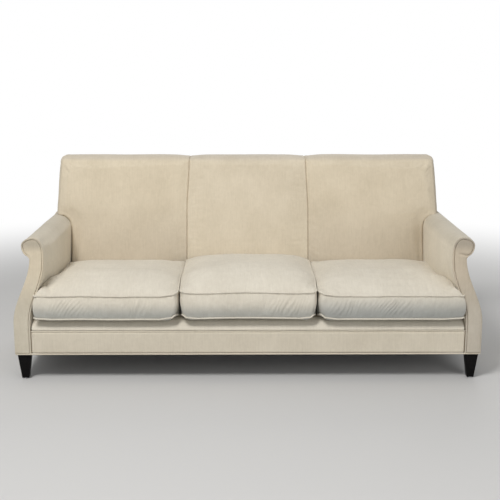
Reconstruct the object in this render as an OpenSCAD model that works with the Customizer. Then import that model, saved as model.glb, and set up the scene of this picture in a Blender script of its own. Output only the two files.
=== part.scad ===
// Three-seater sofa with a tight three-panel back, scroll arms, loose seat cushions and tapered legs.
// Millimetres. X runs along the sofa, Y to the back, Z up; the origin is on the floor under the middle.

/* [Overall] */
// Width over the feet of the arms
body_w = 2100; // [1900:10:2400]
// Depth from the arm facings to the back of the top edge
body_d = 820; // [790:10:900]
// Height of the back at its top edge
body_h = 941; // [900:1:1000]
// Height of the underside of the upholstery above the floor
base_z = 118; // [90:1:150]

/* [Arms] */
// Height of the arms at the top of the scroll
arm_h = 655; // [620:1:700]
// Width of an arm at its foot
arm_foot_w = 74; // [66:1:90]
// How far the neck under the scroll stands in from the foot
neck_inset = 84; // [70:1:95]
// How far the outside of the scroll stands in from the foot
scroll_inset = 50; // [40:1:60]
// Width of the scroll on the facing
scroll_w = 97; // [90:1:110]
// Width of the outer shoulder of the scroll
scroll_shoulder_w = 53; // [45:1:60]
// Drop from the top of the arm to the widest point of the scroll
scroll_drop = 36; // [28:1:44]
// Height from the notch under the scroll to its widest point
scroll_curl_h = 49; // [40:1:54]
// Drop from the top of the arm to where its inside face starts to round over
inner_round_h = 65; // [50:1:75]
// Height at which the arm starts to curve in from its foot
arm_flare_z = 266; // [240:1:290]
// Extra thickness of the inside arm pad behind the facing
arm_swell = 17; // [8:1:24]
// Length over which the inside arm pad fills out behind the front stump
swell_run = 166; // [120:1:220]
// Thickness of the arm padding and cover over the facing's outline
arm_wrap = 14; // [10:1:16]

/* [Seat] */
// Height of the seat deck
deck_z = 280; // [265:1:295]
// Height of the front border
border_h = 98; // [85:1:105]
// Diameter of the cord between border and edge roll
seam_cord_d = 6; // [4:0.5:7]
// Depth of the soft roll along the front of the deck
edge_roll_d = 46; // [40:1:46]
// Front bow of the edge roll
edge_roll_round = 34; // [20:1:40]

/* [Cushions] */
// Height of the side cushions between bottom and top seam
side_boxing_h = 108; // [90:1:120]
// Rise of the side cushions above their top seam
side_crown = 55; // [35:1:70]
// Height of the middle cushion between bottom and top seam
middle_boxing_h = 124; // [100:1:135]
// Rise of the middle cushion above its top seam
middle_crown = 64; // [40:1:75]
// Gap between two cushions
cushion_gap = 6; // [6:0.5:12]
// Distance of the cushions behind the arm facings
cushion_front_set = 6; // [2:1:20]
// Gap between the cushions' welts and the back at deck height
cushion_back_gap = 2; // [1:0.5:10]
// Radius of a cushion corner seen from above
cushion_corner_r = 34; // [20:1:50]
// Draw-in of a cushion side at its middle
cushion_draw_in = 4; // [0:1:8]
// Thickness of the cushion covers
cover_t = 3; // [2:0.5:4]

/* [Zips] */
// Width of a zip tape
zip_tape_h = 26; // [20:1:32]
// Distance of a zip's ends from the sides of its cushion
zip_end_margin = 70; // [60:5:110]
// Height of the closed row of zip teeth
zip_teeth_h = 5; // [4:0.5:6]
// Depth of the closed row of zip teeth
zip_teeth_d = 2; // [1.5:0.5:2.5]
// Length of a zip slider
slider_l = 12; // [9:1:15]

/* [Back] */
// Depth of the back, from its front at seat height to the back of its top edge
back_d = 264; // [250:1:280]
// Height at which the depth of the back is taken
seat_mark_z = 430; // [400:1:460]
// Lean of the front of the back, in degrees
back_lean = 13; // [10:1:14]
// Lean of the outside back, in degrees
rear_lean = 8.5; // [7:0.5:9]
// Height at which the outside back starts to lean
rear_bend_z = 350; // [330:1:380]
// Drop from the top of the back to where its rear edge starts to round
rear_top_drop = 36; // [30:1:60]
// How far each side of the back just above the arms stands in from the foot of the arm
back_inset = 83; // [70:1:120]
// Narrowing of each side of the back from the arms to the top
back_taper = 20; // [0:1:30]
// Width of the middle panel of the back
middle_panel_w = 608; // [560:1:660]
// Gap between two panels of the back at the seam
panel_gap = 1; // [0.6:0.1:2]
// Swell of each back panel
back_crown = 12; // [6:1:20]
// Radius of the top and side edges of the back
back_edge_r = 30; // [20:1:36]
// Thickness of the back's padding in front of its webbing
back_pad_t = 72; // [60:1:80]

/* [Frame] */
// Height of the seat rails
rail_h = 90; // [70:1:94]
// Thickness of the seat rails
rail_t = 28; // [22:1:32]
// Thickness of the arm stumps
stump_t = 46; // [40:1:50]
// Width of the arm rails
arm_rail_w = 38; // [28:1:40]
// Height of the arm rails
arm_rail_h = 40; // [30:1:50]
// Height of the tack rail that closes the bottom of each inside arm
tack_rail_h = 45; // [30:1:50]
// Leg length of the corner blocks
corner_block_l = 80; // [50:1:100]
// Width of the back posts and uprights
post_w = 40; // [28:1:50]
// Height of the top and lower rails of the back
back_rail_h = 60; // [45:1:62]
// Depth of the top rail of the back
back_rail_d = 40; // [28:1:50]
// Height of the lower rail of the back above the deck
lower_rail_lift = 22; // [10:1:40]

/* [Springs and webbing] */
// Number of seat springs
spring_n = 9; // [6:3:12]
// Diameter of the spring wire
spring_wire = 3.8; // [3:0.1:4.5]
// Width of a spring from loop to loop
spring_w = 48; // [36:1:56]
// Number of full waves in a spring
spring_waves = 8; // [7:1:12]
// Width of a spring clip
clip_w = 20; // [14:1:24]
// Number of webbing straps on each back panel
strap_n = 3; // [2:1:4]
// Width of a webbing strap
strap_w = 50; // [40:1:70]

/* [Legs] */
// Side of a leg at the top
leg_top = 58; // [48:1:60]
// Side of a leg at the bottom
leg_bottom = 31; // [24:1:44]
// Thickness of the glides under the legs
glide_h = 4; // [2:0.5:8]
// Diameter of the glides
glide_d = 22; // [14:1:24]
// Diameter of the leg bolts
bolt_d = 8; // [6:1:10]
// Length of the leg bolts
bolt_l = 110; // [80:5:120]

/* [Fabric and trim] */
// Diameter of the welts on facings, cushions and base
welt_d = 8; // [5:0.5:9]
// Thickness of the upholstered facings and of the border
facing_t = 14; // [10:1:18]
// Thickness of the fabric with its backing on arms and back
skin_t = 3; // [2:0.5:3.5]
// Thickness of the dust cover under the seat
dust_t = 1.6; // [1:0.2:3]

/* [Hidden] */

// Clearance of soft pieces and of fitted pieces
soft_gap = 0.3;
// Running clearance of a zip slider
slider_gap = 0.35;
// Facets of round exact shapes
$fn = 32;

// Colours as photographed
cloth = [0.80, 0.76, 0.66];
cloth_light = [0.84, 0.81, 0.74];
cloth_dark = [0.72, 0.69, 0.61];
lining = [0.24, 0.24, 0.25];
wood = [0.80, 0.66, 0.46];
foam = [0.93, 0.89, 0.74];
steel = [0.62, 0.63, 0.65];
leg_black = [0.06, 0.05, 0.05];
zip_colour = [0.70, 0.68, 0.60];

// Driving planes
y_front = -body_d / 2;
y_rear = body_d / 2;
x_foot = body_w / 2;
welt_r = welt_d / 2;
facing_inset = welt_d + soft_gap + 0.3;
stump_inset = skin_t + 2 * soft_gap;
rear_top_z = body_h - rear_top_drop;
lean_run = (rear_top_z - rear_bend_z) * tan(rear_lean);
y_low = y_rear - lean_run;

// Arm places, as distances from the middle of the sofa
neck_x = x_foot - neck_inset;
scroll_x = x_foot - scroll_inset;
shoulder_x = scroll_x - scroll_shoulder_w;
facing_in_x = scroll_x - scroll_w;
foot_in_x = x_foot - arm_foot_w;
full_in_x = facing_in_x - arm_swell;
scroll_z = arm_h - scroll_drop;
notch_z = scroll_z - scroll_curl_h;
round_z = arm_h - inner_round_h;
// How far the neck lies below the notch, and the inside fabric runs down below the deck
neck_drop = 8;
tuck_drop = 54;
neck_z = notch_z - neck_drop;
stump_y = y_front + facing_t + soft_gap;
swell_y = stump_y + stump_t;
full_y = swell_y + swell_run;
tuck_z = deck_z - tuck_drop;

// Seat places
rail_z = base_z + welt_d + soft_gap;
rail_top_z = rail_z + rail_h;
rail_y = stump_y;
rear_rail_y = y_low - stump_inset - rail_t;
rail_end_x = foot_in_x + stump_inset;
rear_end_x = full_in_x + stump_inset;
border_top_z = rail_z + border_h;
roll_front_z = border_top_z + seam_cord_d + 2 * soft_gap;
// Height above the deck at which the space between the arms is taken
deck_mark = 10;
inner_face_x = facing_in(deck_z + deck_mark) - 3 * soft_gap;
clip_t = 1.7;
spring_z = rail_top_z + clip_t + soft_gap;
clip_h = 2 * clip_t + spring_wire + 2 * soft_gap;
pad_z = rail_top_z + clip_h + soft_gap;
deck_cover_t = 2.4;
pad_top_z = deck_z - deck_cover_t - soft_gap;

// Wooden core of an arm, clear of the inner outline of its padding
wood_clear = 3;
arm_wood_in = facing_in_x + arm_wrap + wood_clear;
arm_wood_top = round_z - wood_clear + 1 + (inner_round_h - arm_wrap)
  * sqrt(1 - pow((shoulder_x - arm_wood_in) / (shoulder_x - facing_in_x - arm_wrap), 2));

// Legs
leg_set = welt_d + 3 * soft_gap + leg_top / 2;
leg_x = x_foot - leg_set;
leg_front_y = y_front + leg_set;
leg_rear_y = y_low - leg_set;
rear_stump_y = y_low - stump_inset - stump_t;
dust_z = rail_z - dust_t;
bolt_z = dust_z - bolt_l / 2;

// Smallest and largest points that a round edge is drawn with
arc_steps = 4;
side_steps = 5;
swell_steps = 5;

function smooth(t) = let (u = min(max(t, 0), 1)) u * u * (3 - 2 * u);
function mix(a, b, t) = a + (b - a) * t;
function clamp(v, low, high) = min(max(v, low), high);

// Outer side of an arm at height z, up to the neck
function arm_out(z) = mix(x_foot, neck_x, smooth((z - arm_flare_z) / (neck_z - arm_flare_z)));
// Inner side of the facing at height z
function facing_in(z) = mix(foot_in_x, facing_in_x, smooth((z - arm_flare_z) / (notch_z - arm_flare_z)));
// Inner side of the arm at height z, with the pad filled out by share b
function arm_in(z, b) = mix(facing_in(z), full_in_x, b);
// Share by which the inside arm pad is filled out at depth y
function fill_at(y) = smooth((y - swell_y) / swell_run);

// Outline of an arm from the notch, over the scroll and down its inside to height z_end
function arm_section(b, inset, z_end) =
  let (in_w = mix(shoulder_x - facing_in_x, shoulder_x - full_in_x, b)) concat(
    [for (a = [-75, -50, -25]) [neck_x + (scroll_x - neck_x - inset) * cos(a),
      scroll_z + (scroll_curl_h - inset) * sin(a)]],
    [for (k = [0:arc_steps]) let (a = 90 * k / arc_steps) [
      shoulder_x + (scroll_shoulder_w - inset) * cos(a), scroll_z + (scroll_drop - inset) * sin(a)]],
    [for (k = [1:arc_steps + 1]) let (a = 90 + 90 * k / (arc_steps + 1)) [
      shoulder_x + (in_w - inset) * cos(a), round_z + (inner_round_h - inset) * sin(a)]],
    [for (k = [1:side_steps + 1]) let (z = mix(round_z, tuck_z, k / (side_steps + 1)))
      [arm_in(z, b) + inset, z]],
    z_end < tuck_z ? [[arm_in(z_end, b) + inset, z_end]] : []);

// Outer side of an arm as points from height z_start up to the neck
function arm_outer_side(inset, z_start) = [for (k = [0:side_steps + 2])
  let (z = mix(z_start, neck_z, k / (side_steps + 2))) [arm_out(z) - inset, z]];

// Whole outline of an arm above height z_start
function arm_outline(b, inset, z_start) =
  concat(arm_outer_side(inset, z_start), arm_section(b, inset, z_start));

// Front of the back, outside back, and half width of the back at height z
function back_front(z) = y_rear - back_d + (z - seat_mark_z) * tan(back_lean);
function back_rear(z) = y_low + clamp(z - rear_bend_z, 0, rear_top_z - rear_bend_z) * tan(rear_lean);
function back_half(z) = x_foot - back_inset - back_taper * (z - arm_h) / (body_h - arm_h);
frame_off = back_pad_t + wood_clear;
// Drop from where the rear edge starts to round to the top of the top rail
top_rail_drop = 5;
post_top_z = rear_top_z - back_rail_h - top_rail_drop;
top_rail_z = post_top_z + back_rail_h;

// Closed solid from a stack of rings that all have the same number of points
module ring_stack(rings) {
  n = len(rings[0]);
  m = len(rings);
  low = [for (k = [0:2]) let (s = [for (p = rings[0]) p[k]]) total(s) / n];
  high = [for (k = [0:2]) let (s = [for (p = rings[m - 1]) p[k]]) total(s) / n];
  points = concat([for (r = rings) each r], [low, high]);
  sides = [for (j = [0:m - 2], i = [0:n - 1]) let (a = j * n + i, b = j * n + (i + 1) % n)
    each [[a, a + n, b], [b, a + n, b + n]]];
  ends = [for (i = [0:n - 1]) let (c = (i + 1) % n)
    each [[m * n, i, c], [m * n + 1, (m - 1) * n + c, (m - 1) * n + i]]];
  polyhedron(points, concat(sides, ends), convexity = 6);
}
function total(list, i = 0) = i < len(list) ? list[i] + total(list, i + 1) : 0;

// Closed sheet between two grids of points of the same size; the lower grid is named first where
// the rows run to the right and the columns run away from the eye
module sheet(lower, upper) {
  n = len(lower[0]);
  m = len(lower);
  half = n * m;
  points = concat([for (r = lower) each r], [for (r = upper) each r]);
  top = [for (j = [0:m - 2], i = [0:n - 2]) let (a = j * n + i)
    each [[a, a + n, a + 1], [a + 1, a + n, a + n + 1]]];
  bottom = [for (f = top) [f[0] + half, f[2] + half, f[1] + half]];
  ends = [for (i = [0:n - 2], j = [0, m - 1]) let (a = j * n + i, b = a + 1)
    each j == 0 ? [[a, b, a + half], [b, b + half, a + half]]
      : [[a, a + half, b], [b, a + half, b + half]]];
  edges = [for (j = [0:m - 2], i = [0, n - 1]) let (a = j * n + i, b = a + n)
    each i == 0 ? [[a, a + half, b], [b, a + half, b + half]]
      : [[a, b, a + half], [b, b + half, a + half]]];
  polyhedron(points, concat(top, bottom, ends, edges), convexity = 6);
}

// Round cord of radius r along a path of points; closed joins its ends
module cord(path, r, sides = 6, closed = true, up = [0, 0, 1]) {
  n = len(path);
  rings = [for (i = [0:n - 1])
    let (
      before = path[closed ? (i + n - 1) % n : max(i - 1, 0)],
      after = path[closed ? (i + 1) % n : min(i + 1, n - 1)],
      along = (after - before) / norm(after - before),
      across = cross(along, up) / norm(cross(along, up)),
      lift = cross(across, along)
    ) [for (k = [0:sides - 1]) path[i] + r * (cos(360 * k / sides) * across
      + sin(360 * k / sides) * lift)]];
  points = [for (ring = rings) each ring];
  tube = [for (i = [0:closed ? n - 1 : n - 2], k = [0:sides - 1])
    let (a = i * sides + k, b = i * sides + (k + 1) % sides,
      c = ((i + 1) % n) * sides + k, d = ((i + 1) % n) * sides + (k + 1) % sides)
    each [[a, b, c], [b, d, c]]];
  last = (n - 1) * sides;
  caps = closed ? [] : [for (k = [1:sides - 2]) each [[0, k + 1, k], [last, last + k, last + k + 1]]];
  polyhedron(points, concat(tube, caps), convexity = 6);
}

// Bar along X with the given outline in Y and Z
module bar(x_from, x_to, outline) {
  translate([x_from, 0, 0]) rotate([90, 0, 90]) linear_extrude(x_to - x_from) polygon(outline);
}

// Copies its children on the right arm and mirrored on the left one
module both_sides() {
  children();
  mirror([1, 0, 0]) children();
}

// Copies its children on the left side only when asked
module on_side(left) {
  if (left) {
    mirror([1, 0, 0]) children();
  } else {
    children();
  }
}

// Board cut to the arm's outline, standing across the arm
module arm_board(y, t, b, inset, z_start) {
  translate([0, y + t, 0]) rotate([90, 0, 0]) linear_extrude(t)
    polygon(arm_outline(b, inset, z_start));
}

// Seat frame
module front_seat_rail() {
  color(wood) translate([-rail_end_x, rail_y, rail_z]) cube([2 * rail_end_x, rail_t, rail_h]);
}

module rear_seat_rail() {
  color(wood) translate([-rear_end_x, rear_rail_y, rail_z]) cube([2 * rear_end_x, rail_t, rail_h]);
}

module side_seat_rails() {
  color(wood) both_sides() translate([rail_end_x, swell_y, rail_z])
    cube([rail_t, rear_stump_y - swell_y, rail_h]);
}

// Stretchers under the gaps between the seats, from the front rail to the rear rail
module seat_stretchers() {
  stretcher_h = rail_h / 2;
  color(wood) for (x = [-middle_panel_w / 2, middle_panel_w / 2])
    translate([x - rail_t / 2, rail_y + rail_t, rail_z])
      cube([rail_t, rear_rail_y - rail_y - rail_t, stretcher_h]);
}

module corner_blocks() {
  block_drop = 20;
  block_h = rail_h - block_drop;
  color(wood) both_sides() for (back = [0, 1])
    translate([back == 0 ? rail_end_x : rear_end_x, back == 0 ? rail_y + rail_t : rear_rail_y, rail_z])
      mirror([0, back, 0]) linear_extrude(block_h)
        polygon([[0, 0], [0, corner_block_l], [-corner_block_l, 0]]);
}

// Boards that shape the arms, with a blind hole for the leg bolt
module front_arm_stumps() {
  color(wood) both_sides() difference() {
    arm_board(stump_y, stump_t, 0, stump_inset, rail_z);
    translate([leg_x, leg_front_y, 0]) bolt_hole();
  }
}

module rear_arm_stumps() {
  color(wood) both_sides() difference() {
    arm_board(rear_stump_y, stump_t, 1, stump_inset, rail_z);
    translate([leg_x, leg_rear_y, 0]) bolt_hole();
  }
}

// Clearance of a bolt hole round the bolt and past its end
bolt_clear = 0.1;
bolt_end = 1;
module bolt_hole() {
  translate([0, 0, bolt_z - bolt_end]) cylinder(d = bolt_d + 2 * bolt_clear, h = bolt_l + 2 * bolt_end);
}

// Rail under the scroll, and the low rail that the inside arm's fabric is tacked to
module arm_rails() {
  run = rear_stump_y - swell_y;
  tack_lift = 8;
  color(wood) both_sides() {
    translate([arm_wood_in, swell_y, arm_wood_top - arm_rail_h]) cube([arm_rail_w, run, arm_rail_h]);
    translate([foot_in_x + arm_wrap + 1, swell_y, deck_z + tack_lift]) cube([rail_t, run, tack_rail_h]);
  }
}

// Back frame; the posts stand clear of the inside arms
post_clear = 5;
post_x = full_in_x - skin_t - post_clear;
post_low_z = rail_top_z;

// Outline of a back post or upright between two heights
function post_outline(z0, z1) = [
  [max(back_front(z0) + frame_off, back_front(pad_top_z) + frame_off), z0],
  [back_rear(z0) - stump_inset, z0],
  [back_rear(max(z0, rear_bend_z)) - stump_inset, max(z0 + 1, rear_bend_z)],
  [back_rear(z1) - stump_inset, z1],
  [back_front(z1) + frame_off, z1],
  [back_front(max(z0 + 2, pad_top_z)) + frame_off, max(z0 + 2, pad_top_z)]
];

module back_posts() {
  color(wood) both_sides() bar(post_x - post_w, post_x, post_outline(post_low_z, post_top_z));
}

lower_rail_z = deck_z + lower_rail_lift;
lower_rail_top_z = lower_rail_z + back_rail_h;

module back_uprights() {
  seam_x = middle_panel_w / 2;
  color(wood) for (x = [-seam_x, seam_x])
    bar(x - post_w / 2, x + post_w / 2, [
      [back_front(lower_rail_top_z) + frame_off, lower_rail_top_z],
      [back_front(lower_rail_top_z) + frame_off + back_rail_d, lower_rail_top_z],
      [back_front(post_top_z) + frame_off + back_rail_d, post_top_z],
      [back_front(post_top_z) + frame_off, post_top_z]]);
}

// Outline of a rail that leans with the back
function leaning_rail(z0, z1) = [
  [back_front(z0) + frame_off, z0],
  [back_front(z0) + frame_off + back_rail_d, z0],
  [back_front(z1) + frame_off + back_rail_d, z1],
  [back_front(z1) + frame_off, z1]
];

module back_top_rail() {
  half = back_half(top_rail_z) - skin_t - soft_gap;
  color(wood) bar(-half, half, leaning_rail(post_top_z, top_rail_z));
}

module back_lower_rail() {
  color(wood) bar(-(post_x - post_w), post_x - post_w, leaning_rail(lower_rail_z, lower_rail_top_z));
}

// Seat suspension
// How far a spring's end lies past the middle of its rail
spring_past = 4;
spring_front_y = rail_y + rail_t / 2 - spring_past;
spring_rear_y = rear_rail_y + rail_t / 2 + spring_past;
// Distance from the arms to the field of springs
spring_margin = 60;
spring_pitch = 2 * (full_in_x - spring_margin) / spring_n;
function spring_x(i) = (i - (spring_n - 1) / 2) * spring_pitch;

// One spring seen from above: a wave of wire with a flat loop at each end
function spring_edge(side) = let (
    run = spring_rear_y - spring_front_y,
    swing = (spring_w - spring_wire) / 2,
    bends = [for (w = [0:spring_waves - 1], a = [60, 120, 240, 300]) 360 * w + a]
  ) [for (a = concat([0], bends, [360 * spring_waves])) let (
      slope = swing * cos(a) * 2 * PI * spring_waves / run,
      size = sqrt(1 + slope * slope)
    ) [swing * sin(a) + side * spring_wire / 2 / size,
      spring_front_y + run * a / 360 / spring_waves - side * spring_wire / 2 * slope / size]];

function reversed(list) = [for (i = [len(list) - 1:-1:0]) list[i]];

module seat_springs() {
  color(steel) for (i = [0:spring_n - 1]) translate([spring_x(i), 0, spring_z])
    linear_extrude(spring_wire) polygon(concat(spring_edge(1), reversed(spring_edge(-1))));
}

// Clip bent round the end of a spring, open towards the seat
clip_half = 8;
clip_back = 2;
function clip_outline(y, way) = let (
    e = y - way * clip_half,
    f = y + way * clip_half,
    g = e + way * clip_back
  ) [
  [e, rail_top_z], [f, rail_top_z], [f, rail_top_z + clip_t],
  [g, rail_top_z + clip_t], [g, rail_top_z + clip_h - clip_t],
  [f, rail_top_z + clip_h - clip_t], [f, rail_top_z + clip_h],
  [e, rail_top_z + clip_h]
];

module spring_clips() {
  color(steel) for (i = [0:spring_n - 1], end = [0, 1])
    bar(spring_x(i) - clip_w / 2, spring_x(i) + clip_w / 2,
      clip_outline(end == 0 ? spring_front_y : spring_rear_y, end == 0 ? 1 : -1));
}

// Elastic straps from the lower to the top rail of the back
module back_webbing() {
  strap_t = 2.4;
  strap_end = 12;
  off = frame_off - strap_t - soft_gap;
  z0 = lower_rail_z + strap_end;
  z1 = top_rail_z - strap_end;
  panel = middle_panel_w;
  color(cloth_dark) for (p = [-1, 0, 1], i = [0:strap_n - 1])
    let (room = p == 0 ? panel : post_x - post_w / 2 - panel / 2,
      centre = p == 0 ? 0 : p * (panel / 2 + room / 2),
      x = centre + (i - (strap_n - 1) / 2) * room / (strap_n + 0.4))
    bar(x - strap_w / 2, x + strap_w / 2, [
      [back_front(z0) + off, z0], [back_front(z0) + off + strap_t, z0],
      [back_front(z1) + off + strap_t, z1], [back_front(z1) + off, z1]]);
}

// Deck
deck_y = swell_y + soft_gap;
// The deck ends this far in front of the back posts
deck_end_gap = 6;
deck_end_y = back_front(pad_z) + frame_off - deck_end_gap;
function deck_half(y) = arm_in(deck_z + deck_mark, fill_at(y)) - 3 * soft_gap;

function deck_plan() = let (
    right = [for (k = [0:swell_steps]) let (y = mix(deck_y, full_y, k / swell_steps)) [deck_half(y), y]],
    half = concat(right, [[deck_half(full_y), deck_end_y]])
  ) concat(half, [for (p = reversed(half)) [-p[0], p[1]]]);

module deck_pad() {
  color(foam) translate([0, 0, pad_z]) linear_extrude(pad_top_z - pad_z) polygon(deck_plan());
}

module deck_cover() {
  color(cloth_dark) translate([0, 0, pad_top_z + soft_gap]) linear_extrude(deck_cover_t)
    polygon(deck_plan());
}

// Soft roll along the front of the deck, over the border
module front_edge_roll() {
  y_back = y_front + facing_t + edge_roll_d;
  step = 7;
  set_back = 2;
  lip = 8;
  nose = [for (k = [0:arc_steps + 2]) let (a = 90 * k / (arc_steps + 2))
    [y_front + edge_roll_round * (1 - cos(a)) + set_back,
      roll_front_z + lip + (deck_z - roll_front_z - lip) * sin(a)]];
  color(cloth_light) bar(-inner_face_x, inner_face_x, concat([
    [y_back, pad_z], [y_front + facing_t + soft_gap, pad_z],
    [y_front + facing_t + soft_gap, roll_front_z], [y_front + step, roll_front_z]],
    nose, [[y_back, deck_z]]));
}

module front_border() {
  chamfer = 3;
  color(cloth) bar(-inner_face_x, inner_face_x, [
    [y_front + facing_t, rail_z], [y_front + facing_t, border_top_z],
    [y_front + chamfer, border_top_z], [y_front, border_top_z - chamfer],
    [y_front, rail_z + chamfer], [y_front + chamfer, rail_z]]);
}

module border_seam_cord() {
  set_back = 1;
  y = y_front + seam_cord_d / 2 + set_back;
  z = border_top_z + soft_gap + seam_cord_d / 2;
  color(cloth_light) translate([-inner_face_x, y, z])
    rotate([0, 90, 0]) cylinder(d = seam_cord_d, h = 2 * inner_face_x);
}

// Cord round the bottom edge of the whole sofa
module base_welt() {
  r = 6;
  corners = [[1, -1], [1, 1], [-1, 1], [-1, -1]];
  path = [for (i = [0:3], k = [0:3]) let (c = corners[i], a = 90 * (i - 1) + 30 * k) [
    c[0] * (x_foot - welt_r - r) + r * cos(a),
    (c[1] < 0 ? y_front + welt_r + r : y_low - welt_r - r) + r * sin(a),
    base_z + welt_r]];
  color(cloth_light) cord(path, welt_r, sides = 8);
}

module dust_cover() {
  half = rail_end_x + rail_t;
  color(lining) difference() {
    translate([-half, rail_y, dust_z]) cube([2 * half, y_low - welt_d - soft_gap - rail_y, dust_t]);
    for (x = [-leg_x, leg_x], y = [leg_front_y, leg_rear_y]) translate([x, y, 0]) bolt_hole();
  }
}

// Arms: rows of sections from the facing to the outside back
function arm_row(y, b, inset) = [for (p = arm_section(b, inset, tuck_z)) [p[0], y, p[1]]];
function arm_end_row(share, inset) = [for (p = arm_section(1, inset, tuck_z))
  [p[0], mix(full_y, back_rear(p[1]) - skin_t - soft_gap, share), p[1]]];

function arm_cover_rows(inset) = concat(
  [arm_row(stump_y, 0, inset)],
  [for (k = [0:swell_steps]) let (y = swell_y + swell_run * k / swell_steps) arm_row(y, fill_at(y), inset)],
  [for (share = [0.5, 1]) arm_end_row(share, inset)]);

module arm_cover(left) {
  color(cloth) on_side(left) sheet(arm_cover_rows(skin_t), arm_cover_rows(0));
}

// Padding between the cover and an inner outline that clears the wood
module arm_padding(left) {
  y1 = rear_stump_y - soft_gap;
  depths = concat([for (k = [0:swell_steps]) mix(swell_y + soft_gap, full_y, k / swell_steps)], [y1]);
  outer = [for (y = depths) arm_row(y, fill_at(y), skin_t + soft_gap)];
  inner = [for (y = depths) arm_row(y, 0, arm_wrap)];
  color(foam) on_side(left) sheet(inner, outer);
}

module outer_arm_panel(left) {
  function column(inset, y_end) = [for (p = arm_outer_side(inset, rail_z))
    [p[0], y_end ? back_rear(p[1]) - skin_t - soft_gap : stump_y, p[1]]];
  color(cloth_dark) on_side(left)
    sheet([column(skin_t, false), column(skin_t, true)], [column(0, false), column(0, true)]);
}

module facing(left) {
  color(cloth) on_side(left) arm_board(y_front, facing_t, 0, facing_inset, rail_z);
}

module facing_welt(left) {
  path = [for (p = arm_outline(0, welt_r, rail_z + 1)) [p[0], y_front + welt_r, p[1]]];
  color(cloth_light) on_side(left) cord(path, welt_r, sides = 6, closed = false, up = [0, 1, 0]);
}

// Back panels: 0 is the left one, 1 the middle one and 2 the right one
seam_r = 16;
// Half width of the back where it stands between and above the arms
arm_clear = 1.5;
function back_limit(z) = z < round_z ? full_in_x - arm_clear
  : z < arm_h + arm_clear ? shoulder_x - (shoulder_x - full_in_x + arm_clear)
    * sqrt(max(0, 1 - pow((z - round_z) / (inner_round_h + arm_clear), 2)))
  : back_half(z);

// How far the back panels end above the deck
panel_lift = 2.3;

// Levels of a back panel as height, round-over of the top edge and reach to the outside back
function back_levels(inset) = let (
    z_low = deck_z + panel_lift + inset,
    z_top = body_h - inset,
    r = back_edge_r - inset,
    z_round = z_top - r
  ) concat(
    [[z_low, 0, false], [round_z, 0, false]],
    [for (a = [25, 45, 62, 76, 89]) [round_z + (inner_round_h + arm_clear) * sin(a), 0, false]],
    [[arm_h + arm_clear + inset, 0, false], [mix(arm_h, top_rail_z, 0.5), 0, false],
      [top_rail_z + soft_gap + inset, 0, false], [top_rail_z + soft_gap + inset + 0.6, 0, true]],
    [for (a = [0, 30, 60, 90])
      [mix(max(z_round, top_rail_z + soft_gap + inset + 2), z_top, sin(a)), r * (1 - cos(a)), true]]);

// One ring of a back panel: the front with its swell and round corners, then the rear corners
function back_ring(panel, level, inset) = let (
    z = level[0],
    over = level[1],
    half = back_limit(z) - inset - over,
    seam = middle_panel_w / 2,
    x0 = panel == 1 ? -seam + panel_gap / 2 + inset : panel == 0 ? -half : seam + panel_gap / 2 + inset,
    x1 = panel == 1 ? seam - panel_gap / 2 - inset : panel == 0 ? -seam - panel_gap / 2 - inset : half,
    r0 = panel == 0 && z > arm_h ? back_edge_r - inset : seam_r - inset,
    r1 = panel == 2 && z > arm_h ? back_edge_r - inset : seam_r - inset,
    y0 = back_front(z) + inset + over,
    y1 = level[2] ? back_rear(z) - skin_t - soft_gap - inset - over / 3
      : back_front(z) + back_pad_t - inset,
    swell = back_crown * (1 - over / back_edge_r)
  ) concat(
    [[x0, y1, z]],
    [for (k = [0:2]) let (a = 45 * k) [x0 + r0 * (1 - cos(a)), y0 + r0 * (1 - sin(a)), z]],
    [for (k = [1:4]) let (t = k / 5) [mix(x0 + r0, x1 - r1, t), y0 - swell * sin(180 * t), z]],
    [for (k = [2:-1:0]) let (a = 45 * k) [x1 - r1 * (1 - cos(a)), y0 + r1 * (1 - sin(a)), z]],
    [[x1, y1, z]]);

module back_body(panel, inset) {
  ring_stack([for (level = back_levels(inset)) back_ring(panel, level, inset)]);
}

module back_cover(panel) {
  color(cloth) difference() {
    back_body(panel, 0);
    back_body(panel, skin_t);
  }
}

module back_foam(panel) {
  color(foam) back_body(panel, skin_t + soft_gap);
}

// Sides of the back above the arms, between its front padding and the outside back
module back_side_panels() {
  levels = [for (k = [0:4]) mix(arm_h + arm_clear, top_rail_z, k / 4)];
  function grid(inset) = [for (z = levels) [
    [back_half(z) - inset, back_front(z) + back_pad_t + soft_gap, z],
    [back_half(z) - inset, back_rear(z) - skin_t - soft_gap, z]]];
  color(cloth_dark) both_sides() sheet(grid(skin_t), grid(0));
}

// Outside back from the base to the top edge, as wide as the arms and the back are
function rear_half(z) = z <= neck_z ? arm_out(z)
  : z <= scroll_z ? neck_x + (scroll_x - neck_x) * sqrt(max(0, 1 - pow((scroll_z - z) / scroll_curl_h, 2)))
  : z <= arm_h ? max(back_half(arm_h), shoulder_x + scroll_shoulder_w
      * sqrt(max(0, 1 - pow((z - scroll_z) / scroll_drop, 2))))
  : back_half(z) - pow(max(0, z - rear_top_z), 2) / (2 * back_edge_r);

module outside_back_cover() {
  levels = concat(
    [for (p = arm_outer_side(0, rail_z)) p[1]],
    [notch_z + 3, notch_z + 12, notch_z + 28],
    [for (k = [0:3]) mix(scroll_z, arm_h, k / 3.2)],
    [arm_h + 3, mix(arm_h, rear_top_z, 0.5), rear_top_z, mix(rear_top_z, body_h, 0.6)]);
  function grid(inset) = [for (z = levels) [for (t = [-1, 0, 1])
    [t * rear_half(z), back_rear(z) - inset, z]]];
  color(cloth_dark) sheet(grid(skin_t), grid(0));
}

// Cushions: 0 is the left one, 1 the middle one and 2 the right one
cushion_z = deck_z + soft_gap;
cushion_y0 = y_front + cushion_front_set;
cushion_y1 = back_front(deck_z) - back_crown - welt_r - cushion_back_gap;
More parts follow.
